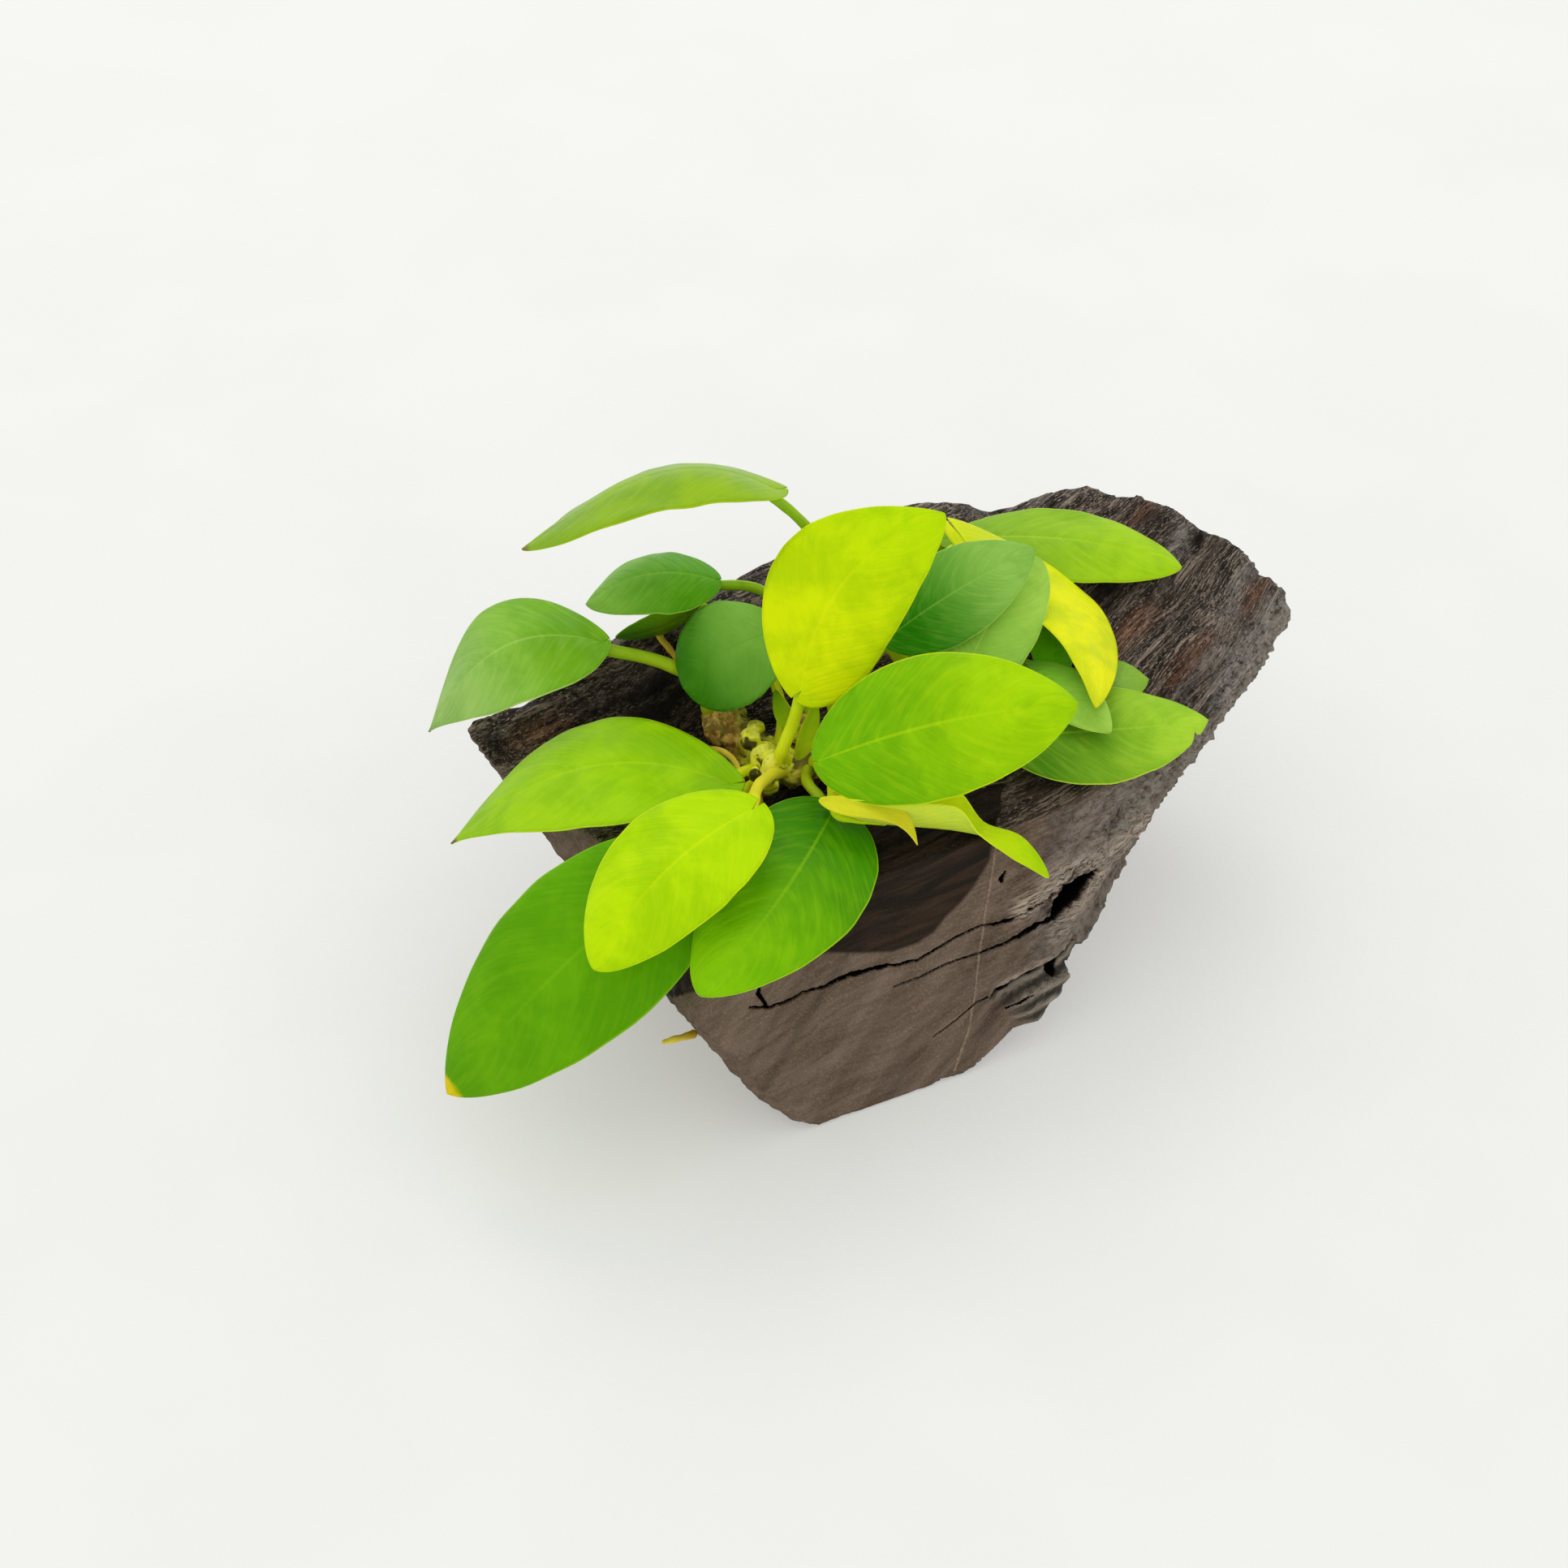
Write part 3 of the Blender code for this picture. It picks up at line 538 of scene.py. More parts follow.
def smooth_path(given, count):
    """Points spaced along a smooth curve through the given ones"""
    given = [Vector(p) for p in given]
    if len(given) == 2:
        return [given[0].lerp(given[1], i / (count - 1)) for i in range(count)]
    padded = [2 * given[0] - given[1]] + given + [2 * given[-1] - given[-2]]
    out = []
    for i in range(count):
        place = i / (count - 1) * (len(given) - 1)
        k = min(int(place), len(given) - 2)
        t = place - k
        a, b, c, d = padded[k:k + 4]
        out.append(0.5 * (2 * b + (c - a) * t + (2 * a - 5 * b + 4 * c - d) * t * t
                          + (3 * b - a - 3 * c + d) * t ** 3))
    return out


def settle(path, passes=4):
    """Evens out the heights of a path without lowering it"""
    for _ in range(passes):
        for i in range(1, len(path) - 1):
            path[i].z = max(path[i].z, (path[i - 1].z + path[i + 1].z) / 2)
    return path


def stem(path, radii, sides, lumps=0.0, lump_size=2.0):
    """Closed round stem with rounded ends. Each vertex keeps how far along and round it lies."""
    ways = []
    for i in range(len(path)):
        ways.append((path[min(i + 1, len(path) - 1)] - path[max(i - 1, 0)]).normalized())
    rings = [(path[0] - ways[0] * radii[0] * 0.5, ways[0], radii[0] * 0.62, 0.0)]
    rings += [(p, w, r, i / (len(path) - 1)) for i, (p, w, r) in enumerate(zip(path, ways, radii))]
    rings.append((path[-1] + ways[-1] * radii[-1] * 0.5, ways[-1], radii[-1] * 0.62, 1.0))
    side = ways[0].orthogonal().normalized()
    points, faces, places = [], [], []
    for i, (centre, way, radius, along) in enumerate(rings):
        side = (side - way * side.dot(way)).normalized()
        other = way.cross(side)
        for k in range(sides):
            angle = 2 * math.pi * k / sides
            out = side * math.cos(angle) + other * math.sin(angle)
            spot = centre + out * radius
            spot += out * lumps * noise.noise(spot / lump_size)
            points.append(spot)
            places.append((along, k / sides, radius))
        if i:
            low, high = (i - 1) * sides, i * sides
            for k in range(sides):
                n = (k + 1) % sides
                faces.append((low + k, low + n, high + n, high + k))
    last = (len(rings) - 1) * sides
    points += [path[0] - ways[0] * radii[0] * 0.75, path[-1] + ways[-1] * radii[-1] * 0.75]
    places += [(0.0, 0.0, 0.0), (1.0, 0.0, 0.0)]
    for k in range(sides):
        n = (k + 1) % sides
        faces.append((n, k, len(points) - 2))
        faces.append((last + k, last + n, len(points) - 1))
    return closed_mesh(points, faces, "stem_place", places)


def closed_mesh(points, faces, layer_name, places):
    """Mesh with its faces turned outwards and three numbers kept at each vertex"""
    mesh = bpy.data.meshes.new(layer_name)
    mesh.from_pydata([tuple(p) for p in points], [], faces)
    bm = bmesh.new()
    bm.from_mesh(mesh)
    bmesh.ops.recalc_face_normals(bm, faces=bm.faces)
    if bm.calc_volume(signed=True) < 0:
        bmesh.ops.reverse_faces(bm, faces=bm.faces)
    bm.to_mesh(mesh)
    bm.free()
    kept(mesh, layer_name, places)
    return mesh


rhizome_line = []
for p in smooth_path([(x, y, 0) for x, y in RHIZOME_LINE], 28):
    rhizome_line.append(Vector((p.x, p.y, wood_top(p.x, p.y) + RHIZOME_RADIUS + 0.6)))
rhizome_line = settle(rhizome_line)
fine_line = smooth_path(rhizome_line, 150)
walked = 0
radii = []
for i, point in enumerate(fine_line):
    walked += (point - fine_line[i - 1]).length if i else 0
    end = min(1, 0.5 + 0.035 * min(i, len(fine_line) - 1 - i))
    ring = math.cos(2 * math.pi * walked / RING_SPACING) ** 3
    radii.append(RHIZOME_RADIUS * end * (1 + 0.13 * ring))
rhizome_mesh = stem(fine_line, radii, 48, lumps=1.1, lump_size=2.4)
bm = bmesh.new()
bm.from_mesh(rhizome_mesh)
for x, y, z, radius, flatness in KNOBS:
    made = bmesh.ops.create_icosphere(bm, subdivisions=3, radius=radius)["verts"]
    for vertex in made:
        vertex.co = Vector((x, y, z)) + Vector((vertex.co.x, vertex.co.y, vertex.co.z * flatness))
bm.to_mesh(rhizome_mesh)
bm.free()
rhizome_mesh = modified(rhizome_mesh, "REMESH", mode="VOXEL", voxel_size=0.3)
rhizome_mesh = modified(rhizome_mesh, "SMOOTH", factor=0.5, iterations=5)
points, normals = read_out(rhizome_mesh)
crust = np.array([0.9 * noise.noise(Vector(p / 2.6)) + 0.35 * noise.fractal(Vector(p / 1.1), 1.0, 2.0, 2)
                  for p in points])
young = ease(0, 2.5, points[:, 0] - YOUNG_PART[0]) * ease(0, 2.5, YOUNG_PART[1] - points[:, 0])
points += normals * (crust * 0.55)[:, None]
# Where the young part lies further back, under the leaves, it gets painted shade
shaded = ease(3, 6.5, points[:, 1]) * young
write_back(rhizome_mesh, points)
kept(rhizome_mesh, "growth_and_shade", np.stack([young, crust, shaded], axis=1))

rhizome_mat, tree, shader, space = new_material("rhizome_skin", 0.42, 0.2)
_, growth_and_shade = stored(tree, "growth_and_shade")
mottle = cloudy(space, 520, 4, 0.6)
grime = cloudy(space, 230, 4, 0.65, 0.4)
skin = blend(step(grime, 0.44, 0.56), (206, 206, 10), (255, 253, 70))
# Pale spots on the skin: painted highlights
skin = blend(step(mottle, 0.6, 0.72), skin, (255, 248, 140))
old = blend(step(mottle, 0.38, 0.62), (140, 100, 34), (244, 200, 100))
old = blend(step(grime, 0.52, 0.62), old, (120, 112, 20))
age = calc("ADD", calc("SUBTRACT", 1.0, growth_and_shade[0]), step(mottle, 0.38, 0.28), clamp=True)
# Darker olive towards the back of the young part: painted shade under the leaves
skin = blend(times(growth_and_shade[2], 0.85), skin, (84, 88, 14))
# Dark in the dents and pale on the bumps of the crust: painted shade and painted highlights
skin = blend(step(growth_and_shade[1], -0.04, -0.36), skin, (72, 66, 6))
skin = blend(times(step(growth_and_shade[1], 0.1, 0.5), 0.6), skin, (255, 252, 110))
colour = blend(age, skin, old)
give(shader, {"Base Color": colour, "Subsurface Weight": 0.06,
              "Subsurface Radius": (0.0012, 0.001, 0.0003)})
relief(shader, calc("ADD", mottle, grime), 0.0005, 0.8)
add_piece("rhizome_stem", rhizome_mesh, rhizome_mat, "rhizome")

# Roots
# Thin yellow-brown roots: the creeping ones grip the wood beside the rhizome, and one hangs free
# before the front. They grow thinner towards their tips.
ROOT_RADIUS = 0.65
ROOTS = {
    "root_loop": [(-29.5, 2, 43.5), (-28, -0.6, 46), (-25.4, -1.2, 47), (-23, -2.6, 46.6),
                  (-21.5, -5.2, 45), (-20.6, -8, 42)],
    "root_back": [(-28, 17, 43.5), (-32, 22.5, 43.4), (-35.6, 27, 44), (-36.2, 28.6, 47),
                  (-35.8, 28.5, 50.5)],
    "root_front": [(-18.5, -7, 43), (-18, -11, 43.5), (-17, -16, 43), (-16, -23, 42)],
    "root_right": [(17, 17, 46), (24, 21, 47.5), (32, 26, 50)],
}
HANGING_ROOT_RADIUS = 0.72
HANGING_ROOT = [(-29, -43.6, 21.3), (-30.3, -44.3, 21.6), (-32, -45.6, 22.2), (-34, -46, 21.8)]


def stem_material(name, foot, top, gloss=0.4):
    """Green or yellow skin that changes from foot to top, with fine lengthwise lines"""
    mat, tree, shader, space = new_material(name, gloss, 0.2)
    vector, parts = stored(tree, "stem_place")
    lines = cloudy(stretched(vector, (6, 30, 1)), 1.0, 3.0, 0.6)
    blotch = cloudy(space, 300, 3)
    colour = blend(step(parts[0], 0.05, 0.75), foot, top)
    colour = blend(times(step(lines, 0.4, 0.7), 0.35), colour, foot)
    colour = blend(times(step(blotch, 0.5, 0.7), 0.3), colour, top, "MULTIPLY")
    give(shader, {"Base Color": colour, "Specular Tint": (0.8, 1, 0.4, 1), "Subsurface Weight": 0.2,
                  "Subsurface Radius": (0.0012, 0.0012, 0.0002)})
    relief(shader, calc("ADD", lines, times(blotch, 0.6)), 0.0002, 0.7)
    return mat


root_mat = stem_material("root_skin", (200, 160, 40), (240, 220, 80), 0.5)
for name, line in ROOTS.items():
    route = []
    for p in smooth_path(line, 10):
        route.append(Vector((p.x, p.y, max(p.z, wood_top(p.x, p.y) + ROOT_RADIUS * 0.8))))
    route = smooth_path(route, 40)
    radii = [ROOT_RADIUS * (1.15 - 0.5 * i / 39) for i in range(40)]
    add_piece(name + "_thread", stem(route, radii, 14, lumps=0.3, lump_size=1.6), root_mat, name)
route = smooth_path(HANGING_ROOT, 30)
radii = [HANGING_ROOT_RADIUS * (1 - 0.3 * i / 29) for i in range(30)]
hanging_mesh = stem(route, radii, 14, lumps=0.2, lump_size=1.6)
add_piece("root_hanging_thread", hanging_mesh, root_mat, "root_hanging")

# Leaf stalks
# Round, firm green stalks that stand on the rhizome, a little thicker at the foot, each running
# into the midrib under its blade. The newest are yellow. Each has its route, its radius at the foot
# and at the top, and its kind.
STALK_POINTS = 60
GREEN_FOOT, GREEN_TOP = (190, 206, 20), (144, 200, 40)
LIME_FOOT, LIME_TOP = (240, 246, 30), (212, 242, 20)
STALKS = {
    "high_back": ([(9, 16, 46), (2, 19.5, 57), (-6, 20.5, 70), (-10.5, 21, 78.5)], 1.15, 0.8, "green"),
    "left_small": ([(-8.5, 1.5, 43), (-9.8, 10, 48.5), (-12, 22, 54), (-18, 27.5, 59)], 1.0, 0.85, "green"),
    "left_large": ([(-25, 11, 44), (-29, 14, 49.5), (-36, 15.5, 53)], 1.25, 1.1, "green"),
    "left_shaded": ([(-14, 1.5, 43), (-15, 12, 48.5), (-22, 23.5, 53)], 0.9, 0.7, "lime"),
    "left_front": ([(-20, -3, 43), (-21.5, -6, 46)], 1.0, 0.85, "lime"),
    "low_left": ([(-18, -5, 44), (-20.5, -9, 45), (-24, -17, 47.5)], 1.0, 0.9, "lime"),
    "front_lime": ([(-16.5, -8, 47.5), (-17.6, -12.5, 50), (-18.8, -18, 52.3), (-19, -23, 55)],
                   1.1, 0.95, "yellow"),
    "front_centre": ([(-11, 0, 43), (-10, -9, 46.5), (-8, -15, 48.5)], 1.0, 0.85, "green"),
    "dark_by_lime": ([(-5, 3.5, 44), (-6.5, 10, 51), (-10.5, 15, 57.5)], 1.0, 0.8, "green"),
    "lime_upright": ([(-16, -5, 45.5), (-14.6, -4.6, 48.8), (-12.8, -2.3, 53), (-11.6, -1.2, 57)],
                     1.15, 1.05, "lime"),
    "right_front": ([(-9, 1, 44), (-8, -7, 49.5), (-7.4, -13, 54)], 1.0, 0.9, "lime"),
    "young_curled": ([(-5.5, 3, 44), (-5.5, -8, 48), (-6, -16, 50.5)], 0.9, 0.7, "lime"),
    "dark_upper": ([(0, 7, 45), (0, 12, 53)], 1.0, 0.8, "green"),
    "dark_middle": ([(9, 13.5, 44), (13, 7, 51)], 1.0, 0.8, "green"),
    "back_right": ([(12, 16, 46), (8.5, 28, 56), (10, 38, 57.5)], 1.0, 0.8, "green"),
    "yellow_hanging": ([(12, 16, 47), (15.5, 26, 57), (15, 33.5, 62.5)], 1.0, 0.7, "lime"),
    "right_low": ([(-1, 6, 45), (10, -2, 49.5)], 1.0, 0.8, "green"),
    "narrow_right": ([(12, 15, 46), (18, 13.5, 49.5), (25, 13, 53)], 0.9, 0.7, "green"),
    "tip_right": ([(12, 16, 46), (19, 20, 51.5), (30, 15, 52)], 0.9, 0.7, "green"),
    "dark_right": ([(11, 15.5, 45), (21, 5, 48)], 0.9, 0.7, "green"),
}
stalk_mats = {
    "green": stem_material("green_stalk", GREEN_FOOT, GREEN_TOP),
    "lime": stem_material("lime_stalk", LIME_FOOT, LIME_TOP),
    "yellow": stem_material("yellow_stalk", (255, 240, 60), (252, 246, 40)),
}

# Leaf blades
# Thin, waxy, egg-shaped blades with a sunken midrib and fine side veins that bend towards the
# tip. Old ones are deep green, young ones lime, and one is yellow before it dies. Each hangs on
# the end of its stalk. "colours" are those at the base and at the tip.
BLADE_THICKNESS = 0.42
SIDE_VEINS = 16
RIM_PALER = (50, 36, 24)
# Where under the blade, from its base at 0 to its tip at 1, the end of the stalk runs
STALK_UNDER_BLADE = (0.015, 0.1, 0.24)
ROWS, COLUMNS = 60, 24
# Some colours hold painted sheen: the pale greyish base of dark_by_lime, the pale tips of left_small,
# left_large and dark_upper, and both colours of dark_middle are lightened by painted sheen
LEAVES = {
    "high_back": dict(
        base=(-15.5, 22, 85), tip=(-58, 13.5, 79), facing=(0, 0.38, 0.92), width=26.5, arch=7, late=-3,
        cup=-0.2, belly=0.38, full=1.25, dry=0.7, colours=((150, 192, 10), (142, 184, 24))),
    "left_small": dict(
        base=(-26, 26.5, 62), tip=(-48.5, 25, 57.8), width=17, arch=4, cup=-0.25,
        colours=((90, 166, 10), (130, 184, 64))),
    "left_large": dict(
        base=(-45.5, 15.5, 57), tip=(-75.5, 7, 44), facing=(-0.2, -0.2, 0.95), width=23.5, arch=10.5,
        late=-3, cup=-0.2, belly=0.36, full=1.85, dry=0.9, colours=((128, 190, 24), (160, 200, 106))),
    "left_shaded": dict(
        base=(-29, 26.5, 56), tip=(-43.5, 22.5, 52.5), facing=(0, -0.85, -0.55), width=12, arch=1,
        cup=-0.1, colours=((132, 180, 14), (84, 146, 22))),
    "left_front": dict(
        base=(-23, -10, 47), tip=(-70.5, -15, 38), width=27.5, arch=10.5, late=-1.5, cup=-0.12,
        belly=0.36, full=1.8, dry=0.9, colours=((170, 226, 4), (162, 210, 24))),
    "low_left": dict(
        base=(-27, -30, 49), tip=(-69.5, -55, 19), facing=(-0.25, -0.5, 0.8), width=30, arch=8, late=-2,
        cup=-0.1, sway=-0.5, dry=0.95, dry_from=1.0, dried=(236, 210, 20),
        colours=((104, 178, 4), (104, 172, 4))),
    "front_lime": dict(
        base=(-19.2, -28.6, 58.3), tip=(-44.5, -54, 47), facing=(-0.1, -0.4, 0.9), width=21.4, arch=3,
        cup=-0.12, sway=1.9, full=1.12, lobe=0.06, colours=((188, 234, 2), (194, 236, 2))),
    "front_centre": dict(
        base=(-6, -19, 49), tip=(-27.5, -57, 44), facing=(-0.15, -0.5, 0.8), width=25, arch=3.5,
        late=-1, cup=-0.12, sway=-2.5, full=1.1, belly=0.38, colours=((62, 142, 2), (138, 204, 4))),
    "dark_by_lime": dict(
        base=(-15, 16, 59.5), tip=(-31.5, 10.5, 51.5), facing=(-0.2, -0.5, 0.8), width=20, arch=4,
        cup=-0.2, full=1.0, belly=0.5, colours=((150, 206, 84), (60, 134, 8))),
    "lime_upright": dict(
        base=(-11.2, -1.2, 60.3), tip=(13, 17, 84), facing=(0.05, -0.7, 0.75), width=24, arch=2,
        cup=-0.1, sway=-5.8, belly=0.4, colours=((232, 250, 2), (196, 236, 2))),
    "right_front": dict(
        base=(-8.5, -17.8, 59.1), tip=(34.5, -12.3, 67.1), facing=(0, -0.55, 0.8), width=25, arch=3,
        cup=-0.12, belly=0.43, sway=-1.2, lobe=0.02, colours=((118, 188, 6), (180, 228, 4))),
    "young_curled": dict(
        base=(-5.5, -21.8, 52.6), tip=(30, -28.5, 43), facing=(0, 0.42, 0.9), width=9.6, arch=2, late=3,
        cup=0.1, hook=-3.4, twist=-50, turn_from=0.55, pinch=0.68, rolled=1.0, belly=0.45, full=1.05,
        colours=((250, 252, 20), (196, 236, 10))),
    "dark_upper": dict(
        base=(4, 14.5, 59), tip=(29, 22.5, 72), facing=(0, -0.5, 0.87), width=16.5,
        colours=((50, 150, 6), (154, 204, 90))),
    "dark_middle": dict(
        base=(16.5, 7, 55.5), tip=(30, 25.5, 68), facing=(-0.1, -0.6, 0.8), width=17, arch=2, cup=-0.1,
        sway=-1, full=1.1, lobe=0.02, colours=((158, 214, 80), (176, 220, 88))),
    "back_right": dict(
        base=(15, 42.5, 58.5), tip=(56.5, 37, 56.5), facing=(0, -0.1, 1), width=18, arch=3.5, late=0.5,
        belly=0.5, full=1.4, colours=((138, 186, 46), (170, 216, 20))),
    "yellow_hanging": dict(
        base=(18, 33.5, 64.5), tip=(38.5, -4, 59), facing=(0.5, -0.3, 0.8), width=16, arch=2, sway=-9,
        twist=30, lobe=0.17, colours=((240, 246, 20), (242, 244, 2))),
    "right_low": dict(
        base=(23, -2.5, 51.5), tip=(58.5, 2, 51), facing=(0, -0.2, 0.98), width=21, arch=2, cup=-0.12,
        sway=2, full=1.4, torn_at=0.92, colours=((92, 150, 26), (172, 218, 52))),
    "narrow_right": dict(
        base=(28, 11.5, 55), tip=(41, -6.3, 55.5), facing=(0, -0.35, 0.9), width=10, arch=1.5,
        colours=((118, 190, 34), (180, 224, 88))),
    "tip_right": dict(
        base=(38, 9.7, 51.5), tip=(49, 12.2, 51.5), facing=(0, -0.2, 0.97), width=9.5, arch=1.5,
        colours=((160, 208, 96), (138, 184, 56))),
    "dark_right": dict(
        base=(32, 11.5, 53.3), tip=(33, 23.5, 56), facing=(0.2, -0.6, 0.8), width=8, arch=1,
        colours=((108, 196, 10), (124, 198, 20))),
}


def midsurface(u, v, base, tip, width, facing=(0, 0, 1), arch=3, late=0, sway=0, hook=0, cup=-0.15,
               twist=0, turn_from=None, pinch=0, rolled=0, torn_at=0, belly=0.42, full=1.3,
               lobe=0.05, seed=0, **rest):
    """A point of the blade's middle sheet, u from base to tip and v from -1 to 1 across it"""
    base, tip = Vector(base), Vector(tip)
    length = (tip - base).length
    along = (tip - base) / length
    side = along.cross(Vector(facing)).normalized()
    up = side.cross(along)
    before, after = belly * full, (1 - belly) * full
    widest = belly ** before * (1 - belly) ** after
    half = width / 2 * max(u, 0) ** before * max(1 - u, 0) ** after / widest
    edge = abs(v)
    if torn_at and v > 0:
        half *= 1 - 0.45 * math.exp(-((u - torn_at) / 0.013) ** 2)
    half *= 1 + 0.025 * edge * noise.noise(Vector((u * 9, math.copysign(3, v), seed)))
    rise = 4 * (u * (1 - u) ** 2 * (arch - late) + u * u * (1 - u) * (arch + late))
    turn = math.radians(twist) * (u - 0.4)
    if turn_from is not None:
        turn = math.radians(twist) * float(ease(turn_from, turn_from + 0.3, u))
    if pinch:
        half *= 1 - 0.5 * math.exp(-((u - pinch) / 0.09) ** 2) - 0.28 * float(ease(pinch, pinch + 0.12, u))
        cup += rolled * float(1 - ease(pinch - 0.2, pinch + 0.06, u))
    across = half * v
    vein = math.sin(math.pi * SIDE_VEINS * (u - 0.3 * edge ** 1.3))
    quilt = 0.05 * vein * edge * (1 - edge) * 4 * min(1, half / 6)
    groove = -0.17 * math.exp(-(across / 0.5) ** 2) * min(1, half / 4)
    swell = 0.9 * noise.noise(Vector((u * 3.1, v * 1.7, seed + 5))) * edge * half / 12
    wave = 0.55 * noise.noise(Vector((u * 7, math.copysign(2, v), seed + 9))) * edge ** 3 * half / 12
    lift = cup * half * edge ** 1.6 + quilt + groove + (swell + wave)
    forward = length * (u - lobe * (1 - u) ** 6 * edge ** 1.3)
    bend = 4 * u * (1 - u) * sway + 6.75 * u * u * (1 - u) * hook
    sideways = across * math.cos(turn) - lift * math.sin(turn) + bend
    height = across * math.sin(turn) + lift * math.cos(turn) + rise
    return base + along * forward + side * sideways + up * height


def blade(spec, rows=ROWS, columns=COLUMNS, thickness=BLADE_THICKNESS):
    """Thin closed sheet with the midrib standing out below"""
    grid = []
    for i in range(rows + 1):
        u = (1 - math.cos(math.pi * i / rows)) / 2
        u = min(max(u, 0.0004), 0.9996)
        grid.append([(u, -1 + 2 * j / columns, midsurface(u, -1 + 2 * j / columns, **spec))
                     for j in range(columns + 1)])
    points, faces, places, layers = [], [], [], {}
    for i, row in enumerate(grid):
        for j, (u, v, here) in enumerate(row):
            along = grid[min(i + 1, rows)][j][2] - grid[max(i - 1, 0)][j][2]
            across = grid[i][min(j + 1, columns)][2] - grid[i][max(j - 1, 0)][2]
            normal = across.cross(along)
            normal = normal.normalized() if normal.length > 1e-9 else Vector((0, 0, 1))
            wide = (grid[i][columns][2] - grid[i][0][2]).length / 2
            half = thickness / 2 * (1 - 0.6 * abs(v) ** 3)
            rib = 0.45 * math.exp(-(v * wide / 0.8) ** 2) * min(1, wide / 3) * (1 - u)
            layers[i, j, 0] = len(points)
            points.append(here + normal * half)
            places.append((u, v, 1.0))
            layers[i, j, 1] = len(points)
            points.append(here - normal * (half + rib))
            places.append((u, v, 0.0))
    for i in range(rows):
        for j in range(columns):
            for k in (0, 1):
                ring = (layers[i, j, k], layers[i, j + 1, k], layers[i + 1, j + 1, k], layers[i + 1, j, k])
                faces.append(ring if k else ring[::-1])
        for j in (0, columns):
            faces.append((layers[i, j, 0], layers[i, j, 1], layers[i + 1, j, 1], layers[i + 1, j, 0]))
    for j in range(columns):
        for i in (0, rows):
            faces.append((layers[i, j, 0], layers[i, j, 1], layers[i, j + 1, 1], layers[i, j + 1, 0]))
    return closed_mesh(points, faces, "leaf_place", places)


def leaf_material(name, base, tip, rim, gloss=0.34, dry=0.0, dry_from=1.015, dried=(128, 100, 52)):
    """Waxy leaf skin: a slow change from base to tip, side veins, a pale rim and a paler underside"""
    mat, tree, shader, space = new_material(name, gloss, 0.12)
    vector, parts = stored(tree, "leaf_place")
    edge = calc("ABSOLUTE", parts[1])
    reach = times(calc("POWER", edge, 1.3), 0.3)
    vein_place = calc("SUBTRACT", parts[0], reach)
    wave = calc("SINE", times(vein_place, 2 * math.pi * SIDE_VEINS))
    veins = calc("POWER", calc("MULTIPLY_ADD", wave, 0.5, 0.5), 6.0)
    sheared = add_node("CombineXYZ", {0: vein_place, 1: parts[1]})
    hatching = cloudy(stretched(sheared, (95, 3, 1)), 1.0, 3.0, 0.6)
    feathers = cloudy(stretched(sheared, (24, 2.2, 1)), 1.0, 2.0, 0.5)
    clouds = cloudy(space, 95, 4, 0.6, 0.3)
    grains = cloudy(space, 2600, 2, 0.5)
    colour = blend(step(parts[0], 0.1, 0.95), base, tip)
    deep = blend(1.0, colour, (0.74, 0.84, 0.7, 1), "MULTIPLY")
    colour = blend(step(clouds, 0.62, 0.36), colour, deep)
    pale = blend(0.3, colour, rim)
    colour = blend(times(step(hatching, 0.48, 0.75), 0.3), colour, pale)
    colour = blend(times(step(feathers, 0.45, 0.7), 0.4), colour, pale)
    colour = blend(times(veins, 0.06), colour, pale)
    midrib = times(step(edge, 0.035, 0.01), step(parts[0], 1.0, 0.3))
    colour = blend(times(midrib, 0.24), colour, rim)
    below = blend(0.5, colour, (214, 236, 90))
    colour = blend(parts[2], below, colour)
    colour = blend(times(step(edge, 0.97, 0.995), 0.6), colour, rim)
    scorched = step(calc("MULTIPLY_ADD", clouds, 0.1, parts[0]), dry_from, dry_from + 0.025)
    colour = blend(times(scorched, dry), colour, dried)
    roughness = step(clouds, 0.35, 0.65, gloss - 0.06, gloss + 0.1)
    give(shader, {"Base Color": colour, "Roughness": roughness, "Specular Tint": (0.8, 1, 0.3, 1),
                  "Subsurface Weight": 0.15, "Subsurface Radius": (0.0012, 0.0018, 0.0002)})
    height = calc("MULTIPLY_ADD", hatching, 0.6, times(veins, -0.3))
    height = calc("MULTIPLY_ADD", clouds, 1.5, height)
    height = calc("MULTIPLY_ADD", grains, 0.1, height)
    relief(shader, height, 0.0002, 0.6)
    return mat


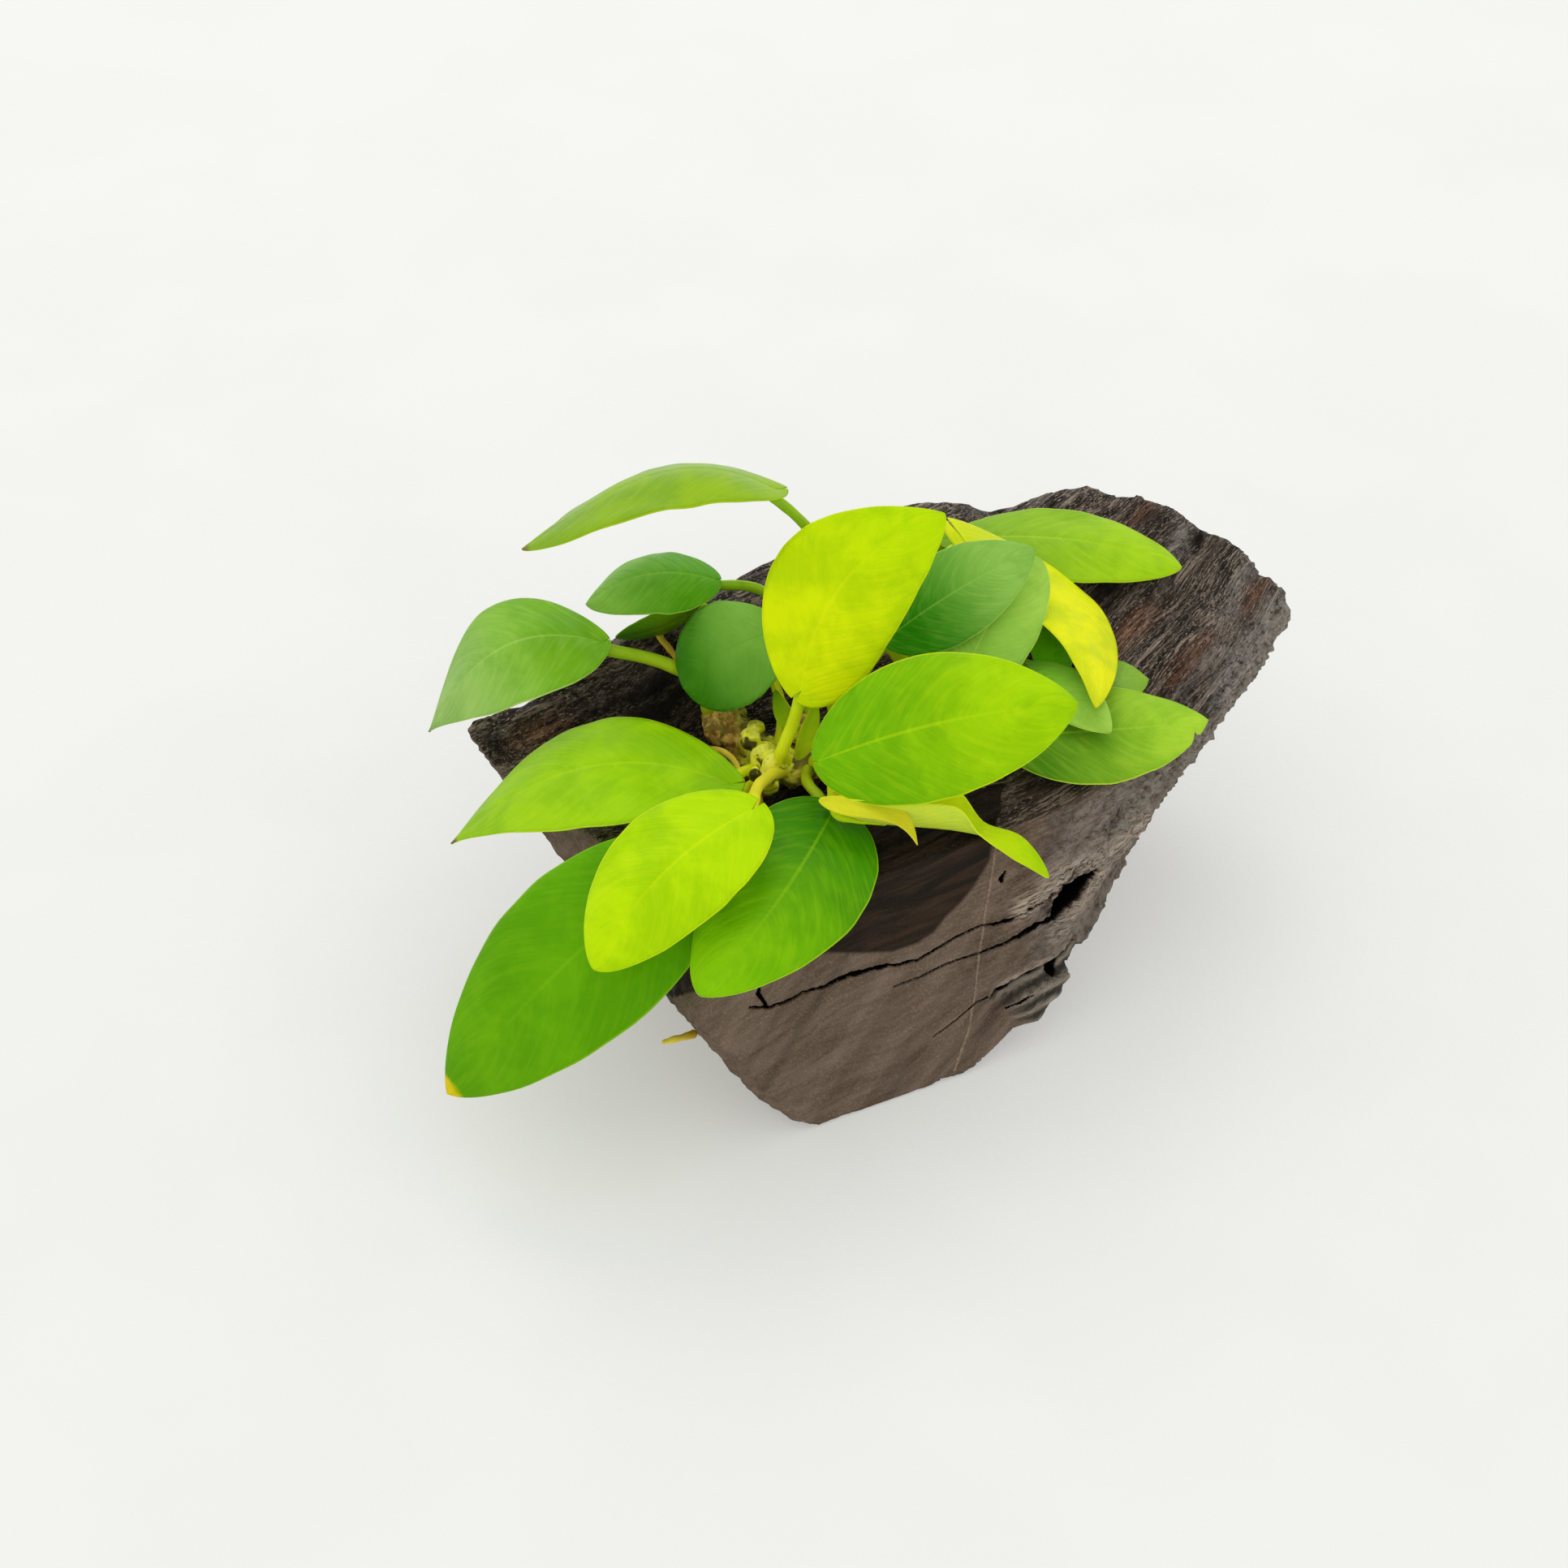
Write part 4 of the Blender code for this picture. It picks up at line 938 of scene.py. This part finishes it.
for number, (leaf, spec) in enumerate(LEAVES.items()):
    spec["seed"] = number * 3.7
    base_colour, tip_colour = spec["colours"]
    rim_colour = tuple(min(255, c + add) for c, add in zip(tip_colour, RIM_PALER))
    dryness = {key: spec[key] for key in ("dry", "dry_from", "dried") if key in spec}
    leaf_mat = leaf_material(leaf + "_skin", base_colour, tip_colour, rim_colour, **dryness)
    add_piece(leaf + "_leaf", blade(spec), leaf_mat, leaf + "_blade")

    # The stalk comes out of the rhizome and runs along under the midrib
    route, foot, top, kind = STALKS[leaf]
    route = [Vector(p) for p in route]
    nearest = min(rhizome_line, key=lambda p: (p - route[0]).length)
    base = Vector(spec["base"])
    out = route[1] - nearest
    route[0] = nearest + out.normalized() * RHIZOME_RADIUS * 0.7
    near_base, inward, rib_end = (midsurface(u, 0, **spec) for u in STALK_UNDER_BLADE)
    u = STALK_UNDER_BLADE[1]
    across = midsurface(u, 0.1, **spec) - midsurface(u, -0.1, **spec)
    normal = across.cross(inward - base).normalized()
    under = [near_base - normal * (top + 0.2), inward - normal * (top + 0.3), rib_end - normal * 0.6]
    path = smooth_path(route + under, STALK_POINTS)
    blade_starts = len(route) / (len(route) + 2)
    radii = []
    for i in range(STALK_POINTS):
        share = i / (STALK_POINTS - 1)
        radius = top + (foot - top) * (1 - share) ** 1.5 + 0.5 * foot * math.exp(-(share / 0.06) ** 2)
        radii.append(radius * (1 - 0.8 * max(0, (share - blade_starts) / (1 - blade_starts))))
    stalk_mesh = stem(path, radii, 16, lumps=0.12, lump_size=2.5)
    add_piece(leaf + "_stem", stalk_mesh, stalk_mats[kind], leaf + "_stalk")

# Sheaths
# Thin papery leftovers of the bud scales that wrapped the young leaves. Two stay fixed at the
# foot of the newest stalks and a yellow one by the foot of a young leaf.
SHEATH_THICKNESS = 0.3
SHEATHS = {
    "sheath_upright": dict(
        base=(-11.5, -3, 47), tip=(-8.5, 0, 57), facing=(0.3, -0.8, 0.5), width=3.4, arch=0.5, cup=0.3,
        colours=((206, 230, 30), (188, 226, 14))),
    "sheath_behind": dict(
        base=(-11.5, 3.5, 46.5), tip=(-15.5, 8.5, 52.5), facing=(-0.5, -0.6, 0.6), width=3.6, arch=1,
        cup=0.3, colours=((168, 200, 20), (150, 196, 10))),
    "sheath_yellow": dict(
        base=(-7.5, -23.3, 55.3), tip=(8, -27.8, 49.7), facing=(0, -0.35, 0.94), width=4.4, arch=1.8,
        late=1, hook=-2.4, cup=0.2, colours=((255, 246, 50), (252, 232, 50))),
}
for number, (name, spec) in enumerate(SHEATHS.items()):
    spec["seed"] = 80 + number * 3.7
    base_colour, tip_colour = spec["colours"]
    sheath_mat = leaf_material(name + "_skin", base_colour, tip_colour, (236, 230, 60), 0.42)
    add_piece(name + "_scale", blade(spec, 36, 10, SHEATH_THICKNESS), sheath_mat, name)

# Floor, light and camera
# A plain pale sheet of matt paper with a faint painted glow that lifts the shadows on it, in even
# light from all round, with one wide soft lamp behind and above. The camera looks down on the front.
# Lengths are in metres here.
HALF_FLOOR = 1.5
FLOOR_GLOW = 0.29
LIGHT_ALL_ROUND = 0.88
LAMP_SIZE, LAMP_POWER = 0.8, 2.0
LAMP_PLACE, LAMP_AIM = Vector((-0.15, 0.75, 1.05)), Vector((0, 0, 0.04))
floor_mesh = bpy.data.meshes.new("floor_sheet")
corners = [(x * HALF_FLOOR, y * HALF_FLOOR, 0) for x, y in ((-1, -1), (1, -1), (1, 1), (-1, 1))]
floor_mesh.from_pydata(corners, [], [(0, 1, 2, 3)])
new_object("floor_sheet", floor_mesh)
floor_mat, tree, shader, space = new_material("pale_sheet", 0.85, 0.2)
tooth = cloudy(space, 900, 3, 0.6)
tint = blend(step(cloudy(space, 20, 2), 0.4, 0.6), (207, 208, 204), (209, 210, 206))
# Painted glow: the sheet's emission lifts the shade round the wood
give(shader, {"Base Color": tint, "Emission Color": (1, 1, 0.98, 1), "Emission Strength": FLOOR_GLOW})
relief(shader, tooth, 0.0003, 0.25)
floor_mesh.materials.append(floor_mat)

world = bpy.data.worlds.new("studio")
bpy.context.scene.world = world
world.use_nodes = True
give(world.node_tree.nodes["Background"], {"Strength": LIGHT_ALL_ROUND, "Color": (1, 1, 1, 1)})


def aimed(name, data, place, aim):
    """A lamp or a camera that looks from its place at its aim"""
    holder = new_object(name, data)
    holder.location = place
    holder.rotation_mode = "QUATERNION"
    holder.rotation_quaternion = (aim - place).to_track_quat("-Z", "Y")
    return holder


lamp = bpy.data.lights.new("light_behind", "AREA")
lamp.shape = "DISK"
lamp.size = LAMP_SIZE
lamp.energy = LAMP_POWER
aimed("light_behind", lamp, LAMP_PLACE, LAMP_AIM)

camera = bpy.data.cameras.new("photo_camera")
camera.lens = LENS
camera.sensor_width = SENSOR
camera.clip_start = 0.01
bpy.context.scene.camera = aimed("photo_camera", camera, CAMERA / 1000, LOOK_AT / 1000)
bpy.context.scene.view_settings.view_transform = "Standard"
